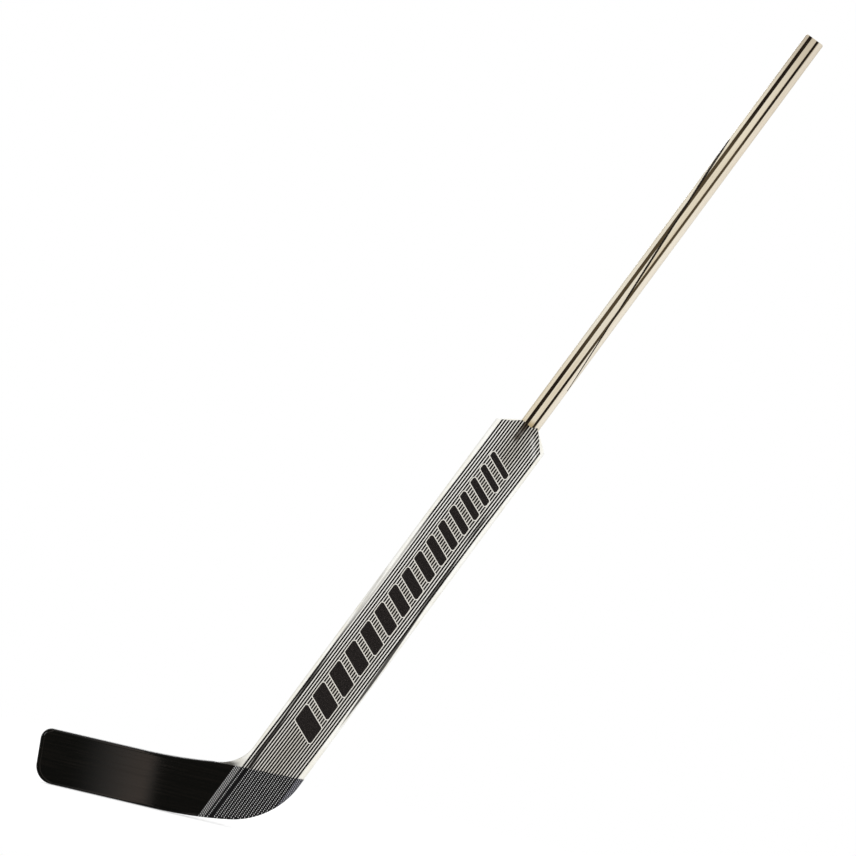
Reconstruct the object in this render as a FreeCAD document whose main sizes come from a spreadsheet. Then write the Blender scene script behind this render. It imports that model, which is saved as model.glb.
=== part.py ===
import FreeCAD, Part
import math
import os
from types import SimpleNamespace

import Sketcher

# Goal stick standing on its blade: +X runs from the toe to the heel, +Z is up, the front faces -Y.
# The origin is on the flat of the sole, in the middle plane of the handle.

# Driving dimensions in millimetres, with angles in degrees
SIZES = {
    # Where the handle's axis meets the ice, and its lie
    "heel_reach": 131,
    "lie_angle": 67,
    # Handle: "along" sizes run up its axis from the ice
    "handle_width": 30,
    "handle_depth": 20,
    "handle_reach": 1449,
    "handle_round": 4,
    "butt_ease": 1.5,
    "lead_ply": 6.6,
    "lead_stripe": 4.7,
    "trail_stripe": 3,
    "trail_ply": 6.9,
    # Fork of the handle and the tongue in it
    "fork_foot": 45,
    "fork_depth": 70,
    "tongue_thickness": 6,
    "tongue_tip": 45,
    "tongue_low": 26,
    # Paddle, measured from the handle's axis and along it
    "paddle_lead": 46.5,
    "paddle_trail": 42,
    "neck_height": 740,
    "shoulder_drop": 22,
    "edge_round": 4.5,
    "edge_bevel": 3,
    "core_joint": 125,
    # Cloth on the paddle and plies on the blade
    "skin_thickness": 0.8,
    "skin_margin": 5.5,
    "shoulder_margin": 1.5,
    "ply_edge": 55.5,
    # Side view of the blade
    "blade_height": 81.2,
    "toe_reach": 177.3,
    "toe_angle": 4,
    "toe_crest_radius": 16,
    "toe_sole_radius": 27,
    "flat_end": 8,
    "rocker_radius": 650,
    "heel_radius": 120,
    "crest_bend": 25,
    "crest_radius": 725,
    "throat_radius": 58,
    # Top view of the blade
    "curve_start": 40,
    "toe_thickness": 10,
    "curve_depth": 24,
    # Woven sleeve
    "sleeve_thickness": 0.6,
    "sleeve_start": 78,
    "sleeve_heel_height": 93.6,
    # How far every cut runs past what it cuts
    "overrun": 12,
}

# Signs of the faces and of the sides of the handle
FRONT = -1
BACK = 1
LEAD = -1
INNER = 0
TRAIL = 1

# The origin as a sketch element, and the places on an element that a constraint takes hold of
ORIGIN = -1
START, END, CENTRE = range(1, 4)

RIGHT_ANGLE = 90
BROAD_SHARE = 0.9
TOUCH_SHARE = 1e-5


class Size:
    """A number together with the sheet expression that gives it."""

    def __init__(self, value, text):
        self.value = value
        self.text = text

    def __add__(self, other):
        other = as_size(other)
        return Size(self.value + other.value, f"({self.text} + {other.text})")

    def __neg__(self):
        return Size(-self.value, f"(0 - {self.text})")

    def __sub__(self, other):
        return self + -as_size(other)

    def __mul__(self, other):
        other = as_size(other)
        return Size(self.value * other.value, f"({self.text} * {other.text})")

    def __truediv__(self, other):
        other = as_size(other)
        return Size(self.value / other.value, f"({self.text} / {other.text})")

    __radd__ = __add__
    __rmul__ = __mul__


def as_size(item):
    return item if isinstance(item, Size) else Size(item, str(item))


NOTHING = Size(0, "0")


def trig(name, angle):
    value = getattr(math, name)(math.radians(angle.value))
    return Size(value, f"{name}({angle.text} * 1 deg)")


def root(square):
    return Size(math.sqrt(square.value), f"sqrt({square.text})")


def make_sheet(doc):
    sheet = doc.addObject("Spreadsheet::Sheet", "Sizes")
    for row, (name, value) in enumerate(SIZES.items(), start=1):
        sheet.set(f"A{row}", name)
        sheet.set(f"B{row}", str(value))
        sheet.setAlias(f"B{row}", name)
    doc.recompute()
    return SimpleNamespace(**{name: Size(sheet.get(name), f"Sizes.{name}") for name in SIZES})


doc = FreeCAD.newDocument("goal_stick")
S = make_sheet(doc)
half_width = S.handle_width / 2
half_depth = S.handle_depth / 2
tilt = RIGHT_ANGLE + -S.lie_angle
lie_turn = Size(math.radians(S.lie_angle.value), f"{S.lie_angle.text} * 1 deg")
# Depth that clears both faces of the curved blade
blank_depth = 2 * (S.curve_depth + S.handle_depth)


def at_handle(aside, along):
    """Side-view point at a distance aside from the handle's axis (trailing side +) and along it."""
    sine = trig("sin", S.lie_angle)
    cosine = trig("cos", S.lie_angle)
    return S.heel_reach + aside * sine + along * cosine, along * sine - aside * cosine


def flat(point):
    return FreeCAD.Vector(as_size(point[0]).value, as_size(point[1]).value, 0)


class Profile:
    """A closed sketch on an origin plane of its body, with points and radii bound to the sheet."""

    def __init__(self, body, role, lift=None):
        self.sketch = body.newObject("Sketcher::SketchObject", "profile")
        plane = next(item for item in body.Origin.OriginFeatures if item.Role == role)
        self.sketch.AttachmentSupport = [(plane, "")]
        self.sketch.MapMode = "FlatFace"
        if lift is not None:
            self.sketch.setExpression("AttachmentOffset.Base.z", lift.text)

    def line(self, start, end):
        return self.sketch.addGeometry(Part.LineSegment(flat(start), flat(end)), False)

    def arc(self, centre, start, end):
        """Arc about a centre, counter-clockwise from start to end."""
        first = flat(start) - flat(centre)
        last = flat(end) - flat(centre)
        circle = Part.Circle(flat(centre), FreeCAD.Vector(0, 0, 1), first.Length)
        angles = [math.atan2(spoke.y, spoke.x) for spoke in (first, last)]
        return self.sketch.addGeometry(Part.ArcOfCircle(circle, *angles), False)

    def sweep(self, start, heading, end):
        """Arc that leaves start along a heading and ends at end, as its two ends and the last heading."""
        chord = flat(end) - flat(start)
        side = FreeCAD.Vector(-heading.y, heading.x, 0)
        reach = chord.dot(chord) / (2 * chord.dot(side))
        centre = flat(start) + side * reach
        last = chord * (2 * chord.dot(heading) / chord.dot(chord)) - heading
        if reach > 0:
            index = self.arc((centre.x, centre.y), start, end)
            return (index, START), (index, END), last
        index = self.arc((centre.x, centre.y), end, start)
        return (index, END), (index, START), last

    def join(self, first, second):
        self.sketch.addConstraint(Sketcher.Constraint("Coincident", *first, *second))

    def blend(self, first, second):
        self.sketch.addConstraint(Sketcher.Constraint("Tangent", *first, *second))

    def chain(self, edges):
        for edge, after in zip(edges, edges[1:] + edges[:1]):
            self.join((edge, END), (after, START))

    def bind(self, kind, refs, size):
        index = self.sketch.addConstraint(Sketcher.Constraint(kind, *refs, size.value))
        self.sketch.setExpression(f"Constraints[{index}]", size.text)

    def across(self, spot, size):
        """Bind the distance of a point from the origin along the sketch's first axis."""
        self.measure("DistanceX", spot, size)

    def upward(self, spot, size):
        """Bind the distance of a point from the origin along the sketch's second axis."""
        self.measure("DistanceY", spot, size)

    def measure(self, kind, spot, size):
        origin = (ORIGIN, START)
        if size.value < 0:
            self.bind(kind, spot + origin, -size)
        else:
            self.bind(kind, origin + spot, size)

    def place(self, spot, point):
        self.across(spot, point[0])
        self.upward(spot, point[1])

    def polygon(self, points):
        edges = [self.line(*pair) for pair in zip(points, points[1:] + points[:1])]
        self.chain(edges)
        for edge, point in zip(edges, points):
            self.place((edge, START), point)

    def spot(self, index, end):
        point = self.sketch.getPoint(index, end)
        return FreeCAD.Vector(point.x, 0, point.y)


def new_body(name):
    return doc.addObject("PartDesign::Body", name)


def lean_on_handle(body):
    """Stand a piece that was drawn upright along the handle's axis at the lie of the stick."""
    turn = FreeCAD.Rotation(FreeCAD.Vector(0, 1, 0), tilt.value)
    body.Placement = FreeCAD.Placement(FreeCAD.Vector(), turn)
    body.setExpression("Placement.Base.x", S.heel_reach.text)
    body.setExpression("Placement.Rotation.Angle", f"{tilt.text} * 1 deg")


def pad(body, profile, length, sides="One side", down=False):
    feature = body.newObject("PartDesign::Pad", "pad")
    feature.Profile = profile.sketch
    feature.SideType = sides
    feature.Reversed = down
    feature.setExpression("Length", length.text)
    doc.recompute()


def pocket(body, profile, length):
    """Cut to both sides of the profile's plane."""
    before = body.Shape.Volume
    feature = body.newObject("PartDesign::Pocket", "pocket")
    feature.Profile = profile.sketch
    feature.SideType = "Symmetric"
    feature.setExpression("Length", length.text)
    doc.recompute()
    if body.Shape.Volume >= before:
        raise ValueError(f"a pocket of {body.Label} cuts nothing")


def dress(body, kind, prop, edges, size):
    """Fillet or chamfer the numbered edges of the body as it stands."""
    base = body.Tip
    feature = body.newObject(kind, "edge")
    feature.Base = (base, [f"Edge{number}" for number in edges])
    feature.setExpression(prop, size.text)
    doc.recompute()


def round_edges(body, edges, radius):
    dress(body, "PartDesign::Fillet", "Radius", edges, radius)


def edges_where(shape, test):
    return [number for number, edge in enumerate(shape.Edges, start=1) if test(edge)]


def middle_of(edge):
    return edge.valueAt((edge.FirstParameter + edge.LastParameter) / 2)


def round_corner(body, corner, radius):
    """Fillet the edge that crosses the stick from front to back over a corner of the side view."""
    shape = body.Tip.Shape

    def crosses(edge):
        ends = [vertex.Point for vertex in edge.Vertexes]
        gaps = [math.hypot(end.x - corner.x, end.z - corner.z) for end in ends]
        return max(gaps) < TOUCH_SHARE * shape.BoundBox.DiagonalLength

    round_edges(body, edges_where(shape, crosses), radius)


def rim_edges(body):
    """Edges between the broad faces and the side walls, apart from the joint's."""
    shape = body.Tip.Shape
    joint_x, joint_z = at_handle(NOTHING, S.core_joint)
    joint = FreeCAD.Vector(joint_x.value, 0, joint_z.value)
    axis = FreeCAD.Vector(trig("cos", S.lie_angle).value, 0, trig("sin", S.lie_angle).value)

    def is_rim(edge):
        middle = middle_of(edge)
        if abs((middle - joint).dot(axis)) < TOUCH_SHARE * shape.BoundBox.DiagonalLength:
            return False
        broad = []
        for face in shape.ancestorsOfType(edge, Part.Face):
            normal = face.normalAt(*face.Surface.parameter(middle))
            broad.append(abs(normal.y) > BROAD_SHARE)
        return sorted(broad) == [False, True]

    return edges_where(shape, is_rim)


def meet(centre, radius, point, angle):
    """Lower point where a line at an angle crosses a circle, to start the sketch from."""
    heading = FreeCAD.Vector(math.cos(math.radians(angle.value)), math.sin(math.radians(angle.value)), 0)
    reach = flat(point) - flat(centre)
    half = reach.dot(heading)
    run = -half - math.sqrt(half * half - reach.dot(reach) + radius.value ** 2)
    spot = flat(point) + heading * run
    return spot.x, spot.y


def heel_clearance():
    """Distance along the ice that clears the heel of every piece of the blade."""
    return at_handle(S.paddle_trail, S.core_joint)[0] + S.sleeve_thickness + S.overrun


def cut_span():
    """Length of a cut that clears the blade and heel from sole to joint on both sides of the ice."""
    return 2 * (at_handle(-S.paddle_lead, S.core_joint)[1] + S.overrun)


def side_levels(offset):
    """Heights of the sole and of the straight top edge, grown outward by the offset."""
    inset = S.sleeve_thickness - offset
    return inset, S.blade_height - inset


def toe_point(height, offset):
    """Point of the leaning toe line at a height, grown outward by the offset."""
    inset = S.sleeve_thickness - offset
    lean = (S.blade_height - height) * trig("tan", S.toe_angle) + inset / trig("cos", S.toe_angle)
    return lean - S.toe_reach, height


def blade_lines(profile, offset, heel_foot, crest_end):
    """Toe, sole, rocker and top edge, from the heel_foot end of the rocker round to crest_end."""
    sole, crest = side_levels(offset)
    toe_low = toe_point(sole, offset)
    toe_high = toe_point(crest, offset)
    flat_end = (S.flat_end, sole)
    crest_start = (-S.crest_bend, crest)
    toe = profile.line(toe_high, toe_low)
    flat_sole = profile.line(toe_low, flat_end)
    rocker = profile.arc((S.flat_end, sole + S.rocker_radius + offset), flat_end, heel_foot)
    rise = profile.arc((-S.crest_bend, crest + S.crest_radius - offset), crest_start, crest_end)
    top = profile.line(crest_start, toe_high)
    profile.join((toe, END), (flat_sole, START))
    profile.blend((flat_sole, END), (rocker, START))
    profile.blend((rise, START), (top, START))
    profile.join((top, END), (toe, START))
    profile.place((toe, START), toe_high)
    profile.place((toe, END), toe_low)
    profile.place((flat_sole, END), flat_end)
    profile.place((top, START), crest_start)
    profile.bind("Radius", (rocker,), S.rocker_radius + offset)
    profile.bind("Radius", (rise,), S.crest_radius - offset)
    return toe, rocker, rise


def rocker_meets(offset, point):
    """Where a line at the handle's lie through a point meets the rocker of the sole."""
    centre = (S.flat_end, side_levels(offset)[0] + S.rocker_radius + offset)
    return meet(centre, S.rocker_radius + offset, point, S.lie_angle)


def crest_meets(offset, point):
    """Where a line at the handle's lie through a point meets the rising top edge."""
    centre = (-S.crest_bend, side_levels(offset)[1] + S.crest_radius - offset)
    return meet(centre, S.crest_radius - offset, point, S.lie_angle)


def lie_line(profile, foot, head):
    """Line at the handle's lie whose upper end is bound and whose foot is found."""
    line = profile.line(foot, head)
    profile.place((line, END), head)
    profile.bind("Angle", (line,), lie_turn)
    return line


def blade_blank(name, offset, face_offset):
    """Blade, heel and throat in one piece: side view padded and faces cut to the top view."""
    body = new_body(name)
    profile = Profile(body, "XZ_Plane")
    trail_head = at_handle(S.paddle_trail + offset, S.core_joint)
    lead_head = at_handle(-(S.paddle_lead + offset), S.core_joint)
    trail_foot = rocker_meets(offset, trail_head)
    lead_foot = crest_meets(offset, lead_head)
    toe, rocker, rise = blade_lines(profile, offset, trail_foot, lead_foot)
    trail = lie_line(profile, trail_foot, trail_head)
    lead = lie_line(profile, lead_foot, lead_head)
    joint = profile.line(trail_head, lead_head)
    profile.join((rocker, END), (trail, START))
    profile.join((trail, END), (joint, START))
    profile.join((joint, END), (lead, END))
    profile.join((lead, START), (rise, END))
    pad(body, profile, blank_depth, "Symmetric")
    corners = (
        ((rocker, END), S.heel_radius + offset),
        ((rise, END), S.throat_radius - offset),
        ((toe, START), S.toe_crest_radius + offset),
        ((toe, END), S.toe_sole_radius + offset),
    )
    for spot, radius in corners:
        round_corner(body, profile.spot(*spot), radius)
    trim_face(body, FRONT, face_offset, FRONT)
    trim_face(body, BACK, face_offset, BACK)
    return body


def trim_face(body, side, offset, away):
    """Cut all that lies on the away side of the front or back face of the blade."""
    bend = (S.curve_start, side * (half_depth + offset))
    tip = (-S.toe_reach, side * (S.toe_thickness / 2 + offset) - S.curve_depth)
    right = heel_clearance()
    left = -(S.toe_reach + S.overrun)
    far = away * (blank_depth / 2 + S.overrun)
    profile = Profile(body, "XY_Plane")
    straight = profile.line((right, bend[1]), bend)
    curve_from, curve_to, heading = profile.sweep(bend, FreeCAD.Vector(-1, 0, 0), tip)
    past = flat(tip) + heading * (S.overrun.value / abs(heading.x))
    tail = profile.line(tip, (past.x, past.y))
    end = profile.line((past.x, past.y), (left, far))
    back = profile.line((left, far), (right, far))
    close = profile.line((right, far), (right, bend[1]))
    profile.blend((straight, END), curve_from)
    profile.blend(curve_to, (tail, START))
    profile.join((tail, END), (end, START))
    profile.join((end, END), (back, START))
    profile.join((back, END), (close, START))
    profile.join((close, END), (straight, START))
    profile.place((straight, START), (right, bend[1]))
    profile.place((straight, END), bend)
    profile.place(curve_to, tip)
    profile.across((tail, END), left)
    profile.place((end, END), (left, far))
    profile.place((back, END), (right, far))
    pocket(body, profile, cut_span())


def handle_ply(name, left, width, outer_side):
    """One lamination of the handle, with rounded corners on its outer side."""
    body = new_body(name)
    right = left + width
    section = [(left, -half_depth), (right, -half_depth), (right, half_depth), (left, half_depth)]
    profile = Profile(body, "XY_Plane", S.neck_height)
    profile.polygon(section)
    pad(body, profile, S.handle_reach - S.neck_height)
    outer = outer_side * half_width.value
    top = S.handle_reach.value

    def is_outer(point):
        return outer_side != INNER and math.isclose(point.x, outer)

    def is_long_corner(edge):
        ends = [vertex.Point for vertex in edge.Vertexes]
        return all(is_outer(end) for end in ends) and not math.isclose(ends[0].z, ends[-1].z)

    def is_butt_edge(edge):
        middle = middle_of(edge)
        inner = math.isclose(middle.x, left.value) or math.isclose(middle.x, right.value)
        return math.isclose(middle.z, top) and (is_outer(middle) or not inner)

    if outer_side != INNER:
        round_edges(body, edges_where(body.Tip.Shape, is_long_corner), S.handle_round)
    dress(body, "PartDesign::Chamfer", "Size", edges_where(body.Tip.Shape, is_butt_edge), S.butt_ease)
    spine = Profile(body, "XY_Plane", S.neck_height)
    spine.polygon(section)
    pad(body, spine, S.neck_height - S.fork_foot, down=True)
    fork = Profile(body, "YZ_Plane")
    half_slot = S.tongue_thickness / 2
    low = S.fork_foot - S.overrun
    high = S.fork_foot + S.fork_depth
    fork.polygon([(-half_slot, low), (half_slot, low), (half_slot, high), (-half_slot, high)])
    pocket(body, fork, 2 * S.handle_width)
    lean_on_handle(body)
    return body


def handle_plies():
    """The five laminations, side by side across the handle's broad face."""
    centre_left = S.lead_ply + S.lead_stripe - half_width
    centre_right = half_width - S.trail_ply - S.trail_stripe
    return [
        handle_ply("handle_lead_ply", -half_width, S.lead_ply, LEAD),
        handle_ply("handle_lead_stripe", S.lead_ply - half_width, S.lead_stripe, INNER),
        handle_ply("handle_centre_ply", centre_left, centre_right - centre_left, INNER),
        handle_ply("handle_trail_stripe", centre_right, S.trail_stripe, INNER),
        handle_ply("handle_trail_ply", half_width - S.trail_ply, S.trail_ply, TRAIL),
    ]


def paddle_core(name, side, reach):
    """Foam wing on one side of the handle, with a sloped shoulder and a rounded outer edge."""
    body = new_body(name)
    inner = side * half_width
    outer = side * reach
    profile = Profile(body, "XZ_Plane")
    profile.polygon([
        (outer, S.core_joint),
        (inner, S.core_joint),
        (inner, S.neck_height),
        (outer, S.neck_height - S.shoulder_drop),
    ])
    pad(body, profile, S.handle_depth, "Symmetric")

    def is_long_corner(edge):
        ends = [vertex.Point for vertex in edge.Vertexes]
        outside = all(math.isclose(end.x, outer.value) for end in ends)
        return outside and not math.isclose(ends[0].z, ends[-1].z)

    round_edges(body, edges_where(body.Tip.Shape, is_long_corner), S.edge_round)
    lean_on_handle(body)
    return body


def shoulder_point(aside, reach, side):
    """Point of the cloth's shoulder at a distance aside, a margin below the core's shoulder."""
    fall = S.shoulder_drop * (aside - half_width) / (reach - half_width)
    return at_handle(side * aside, S.neck_height - S.shoulder_margin - fall)


def paddle_skin(name, lift):
    """Cloth on one face of the paddle, from the neck down to the rocker of the sole."""
    body = new_body(name)
    inset = -S.skin_margin
    profile = Profile(body, "XZ_Plane", lift)
    neck_along = S.neck_height - S.shoulder_margin
    neck_lead = at_handle(-half_width, neck_along)
    neck_trail = at_handle(half_width, neck_along)
    trail_head = shoulder_point(S.paddle_trail - S.skin_margin, S.paddle_trail, TRAIL)
    lead_head = shoulder_point(S.paddle_lead - S.skin_margin, S.paddle_lead, LEAD)
    trail_foot = rocker_meets(inset, trail_head)
    lead_foot = rocker_meets(inset, lead_head)
    centre = (S.flat_end, S.sleeve_thickness + S.rocker_radius)
    rocker = profile.arc(centre, lead_foot, trail_foot)
    trail = lie_line(profile, trail_foot, trail_head)
    trail_shoulder = profile.line(trail_head, neck_trail)
    neck = profile.line(neck_trail, neck_lead)
    lead_shoulder = profile.line(neck_lead, lead_head)
    lead = lie_line(profile, lead_foot, lead_head)
    profile.join((rocker, END), (trail, START))
    profile.join((trail, END), (trail_shoulder, START))
    profile.join((trail_shoulder, END), (neck, START))
    profile.join((neck, END), (lead_shoulder, START))
    profile.join((lead_shoulder, END), (lead, END))
    profile.join((lead, START), (rocker, START))
    profile.place((rocker, CENTRE), centre)
    profile.bind("Radius", (rocker,), S.rocker_radius + inset)
    profile.place((neck, START), neck_trail)
    profile.place((neck, END), neck_lead)
    pad(body, profile, S.skin_thickness)
    round_corner(body, profile.spot(rocker, END), S.heel_radius + inset)
    return body


def blade_ply(name, side):
    """Black ply on one face of the blade core, ended by a line along the handle beside the heel."""
    body = new_body(name)
    inset = -S.skin_margin
    profile = Profile(body, "XZ_Plane")
    head = at_handle(-S.ply_edge, S.core_joint)
    foot = rocker_meets(inset, head)
    crest_end = crest_meets(inset, head)
    toe, rocker, rise = blade_lines(profile, inset, foot, crest_end)
    edge = profile.line(foot, crest_end)
    profile.join((rocker, END), (edge, START))
    profile.join((edge, END), (rise, END))
    profile.bind("Angle", (edge,), lie_turn)
    guide = profile.line(crest_end, head)
    profile.sketch.toggleConstruction(guide)
    profile.join((guide, START), (edge, END))
    profile.place((guide, END), head)
    profile.sketch.addConstraint(Sketcher.Constraint("Parallel", guide, edge))
    pad(body, profile, blank_depth, "Symmetric")
    round_corner(body, profile.spot(toe, START), S.toe_crest_radius + inset)
    round_corner(body, profile.spot(toe, END), S.toe_sole_radius + inset)
    trim_face(body, side, S.skin_thickness, side)
    trim_face(body, side, NOTHING, -side)
    return body


def heel_tongue():
    """Hardwood tongue: its upper arm fills the fork of the handle, its lower arm lies in the blade."""
    body = new_body("heel_tongue")
    fork_top = S.fork_foot + S.fork_depth
    lead_foot = at_handle(-half_width, S.fork_foot)
    profile = Profile(body, "XZ_Plane")
    profile.polygon([
        at_handle(half_width, fork_top),
        at_handle(-half_width, fork_top),
        lead_foot,
        (S.tongue_tip, lead_foot[1]),
        (S.tongue_tip, S.tongue_low),
        (at_handle(NOTHING, S.fork_foot)[0], S.tongue_low),
        at_handle(half_width, S.fork_foot),
    ])
    pad(body, profile, S.tongue_thickness, "Symmetric")
    return body


def combine(kind, name, base, tool):
    feature = doc.addObject(f"Part::{kind}", name)
    feature.Base = base
    feature.Tool = tool
    doc.recompute()
    return feature


def cut(name, base, tool):
    return combine("Cut", name, base, tool)


def core_blank():
    """Foam of blade and heel: rims rounded at the heel, and bevelled where the sleeve hides them."""
    heel = blade_blank("heel_blank", NOTHING, NOTHING)
    round_edges(heel, rim_edges(heel), S.edge_round)
    blade = blade_blank("bevelled_blank", NOTHING, NOTHING)
    dress(blade, "PartDesign::Chamfer", "Size", rim_edges(blade), S.edge_bevel)
    zone = doc.addObject("Part::Box", "heel_zone")
    start = S.sleeve_start - S.overrun
    zone.setExpression("Length", (heel_clearance() - start).text)
    zone.setExpression("Width", (2 * blank_depth).text)
    zone.setExpression("Height", cut_span().text)
    zone.setExpression("Placement.Base.x", start.text)
    zone.setExpression("Placement.Base.y", (-blank_depth).text)
    zone.setExpression("Placement.Base.z", (-cut_span() / 2).text)
    rounded = combine("Common", "rounded_heel", heel, zone)
    return combine("Fuse", "core_blank", rounded, cut("bevelled_blade", blade, zone))


def blade_core(blank, tongue):
    """Foam of the blade and heel, open for the handle's fork and the tongue."""
    slot = doc.addObject("Part::Box", "handle_slot")
    slot.setExpression("Length", S.handle_width.text)
    slot.setExpression("Width", (2 * S.handle_depth).text)
    slot.setExpression("Height", (S.core_joint + S.overrun - S.fork_foot).text)
    lean_on_handle(slot)
    corner = at_handle(-half_width, S.fork_foot)
    slot.setExpression("Placement.Base.x", corner[0].text)
    slot.setExpression("Placement.Base.y", (-S.handle_depth).text)
    slot.setExpression("Placement.Base.z", corner[1].text)
    return cut("blade_core", cut("slotted_core", blank, slot), tongue)


def blade_sleeve(foam, skins):
    """Woven sleeve round the blade and heel, open above a line that runs on from the top edge."""
    blank = blade_blank("sleeve_blank", S.sleeve_thickness, S.skin_thickness + S.sleeve_thickness)
    round_edges(blank, rim_edges(blank), S.edge_round + S.sleeve_thickness)
    run = S.sleeve_start + S.crest_bend
    radius = S.crest_radius - S.sleeve_thickness
    start = (S.sleeve_start, S.blade_height + radius - root(radius * radius - run * run))
    right = heel_clearance()
    top = at_handle(-S.paddle_lead, S.core_joint)[1] + S.overrun
    profile = Profile(blank, "XZ_Plane")
    profile.polygon([start, (right, S.sleeve_heel_height), (right, top), (S.sleeve_start, top)])
    pocket(blank, profile, blank_depth)
    sleeve = cut("sleeve_shell", blank, foam)
    for skin in skins[:-1]:
        sleeve = cut("sleeve_step", sleeve, skin)
    return cut("blade_sleeve", sleeve, skins[-1])


def check(parts):
    """Stop if any object failed, or if a sub-part isn't one valid solid."""
    for item in doc.Objects:
        if "Invalid" in item.State or "Error" in item.State:
            raise ValueError(f"{item.Label} failed: {item.State}")
    for part in parts:
        shape = part.Shape
        if shape.isNull() or not shape.isValid() or len(shape.Solids) != 1:
            raise ValueError(f"{part.Label} isn't one valid solid")


def main():
    plies = handle_plies()
    cores = [
        paddle_core("paddle_lead_core", LEAD, S.paddle_lead),
        paddle_core("paddle_trail_core", TRAIL, S.paddle_trail),
    ]
    skins = [
        paddle_skin("paddle_front_skin", half_depth),
        paddle_skin("paddle_back_skin", -(half_depth + S.skin_thickness)),
        blade_ply("blade_front_ply", FRONT),
        blade_ply("blade_back_ply", BACK),
    ]
    tongue = heel_tongue()
    blank = core_blank()
    core = blade_core(blank, tongue)
    sleeve = blade_sleeve(blank, skins)
    parts = plies + cores + skins + [tongue, core, sleeve]
    doc.recompute()
    check(parts)
    os.makedirs("parts", exist_ok=True)
    for part in parts:
        part.Shape.Solids[0].exportStep(f"parts/{part.Label}.step")
        print(part.Label, round(part.Shape.Volume), part.Shape.BoundBox)


main()
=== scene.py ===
import bisect
import logging
import math
from dataclasses import dataclass, field
from enum import Enum
from typing import Sequence

import bmesh
import bpy
from mathutils import Matrix, Vector


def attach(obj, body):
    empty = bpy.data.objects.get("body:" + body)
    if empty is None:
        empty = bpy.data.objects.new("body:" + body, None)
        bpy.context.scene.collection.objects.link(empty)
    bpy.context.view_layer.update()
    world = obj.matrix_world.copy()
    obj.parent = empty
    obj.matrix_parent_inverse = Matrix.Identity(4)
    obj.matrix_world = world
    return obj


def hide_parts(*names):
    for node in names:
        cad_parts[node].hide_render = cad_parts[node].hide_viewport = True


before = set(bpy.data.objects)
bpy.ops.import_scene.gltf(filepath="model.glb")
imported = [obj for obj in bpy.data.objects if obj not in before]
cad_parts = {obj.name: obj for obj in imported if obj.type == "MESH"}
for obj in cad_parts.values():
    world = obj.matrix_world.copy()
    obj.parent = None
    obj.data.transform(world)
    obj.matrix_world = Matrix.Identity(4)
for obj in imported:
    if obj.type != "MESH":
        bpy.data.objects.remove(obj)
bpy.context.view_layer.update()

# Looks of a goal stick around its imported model. Meshes are in metres in the model's own frame: +X runs from
# the toe to the heel, +Z is up and the front of the paddle faces -Y. Finishes work in millimetres of the
# handle's own space: aside from its axis (the trailing side is +), along it from the ice, and in depth (the
# back is +).

log = logging.getLogger("goal_stick")

Colour = tuple[float, float, float]
Point = tuple[float, float, float]
Span = tuple[float, float]
Socket = bpy.types.NodeSocket
Tint = Colour | Socket

BODY = "root"
MM = 1000.0

# Sizes that several classes share: the neck's height along the handle, and half the handle's width
NECK = 0.7385
HALF_WIDTH = 0.015


class Face(Enum):
    """A broad face of the stick, as the sign of its normal along Y."""

    FRONT = -1
    BACK = 1


class Half(Enum):
    """A half of the sleeve, on either side of the end of the paint."""

    BLADE = 0
    HEEL = 1


class Region(Enum):
    """What shows at a place of the bare sleeve, as the number of its material."""

    WEAVE = 0
    DARK = 1
    PALE = 2
    RIM = 3


# Shader graph

class Value:
    """A number in a shader graph. Arithmetic on it adds Math nodes."""

    def __init__(self, graph: "Graph", socket: Socket) -> None:
        """Wrap an output socket of a graph."""
        self.graph = graph
        self.socket = socket

    def __add__(self, other: "Number") -> "Value":
        """Sum with a value or a number."""
        return self.graph.math("ADD", self, other)

    def __sub__(self, other: "Number") -> "Value":
        """Difference from a value or a number."""
        return self.graph.math("SUBTRACT", self, other)

    def __rsub__(self, other: float) -> "Value":
        """Difference of a number and this value."""
        return self.graph.math("SUBTRACT", other, self)

    def __mul__(self, other: "Number") -> "Value":
        """Product with a value or a number."""
        return self.graph.math("MULTIPLY", self, other)

    def __truediv__(self, other: "Number") -> "Value":
        """Quotient by a value or a number."""
        return self.graph.math("DIVIDE", self, other)

    def __rtruediv__(self, other: float) -> "Value":
        """Quotient of a number by this value."""
        return self.graph.math("DIVIDE", other, self)

    def __abs__(self) -> "Value":
        """The size of the value without its sign."""
        return self.graph.math("ABSOLUTE", self)

    __radd__ = __add__
    __rmul__ = __mul__


Number = Value | float


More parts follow.
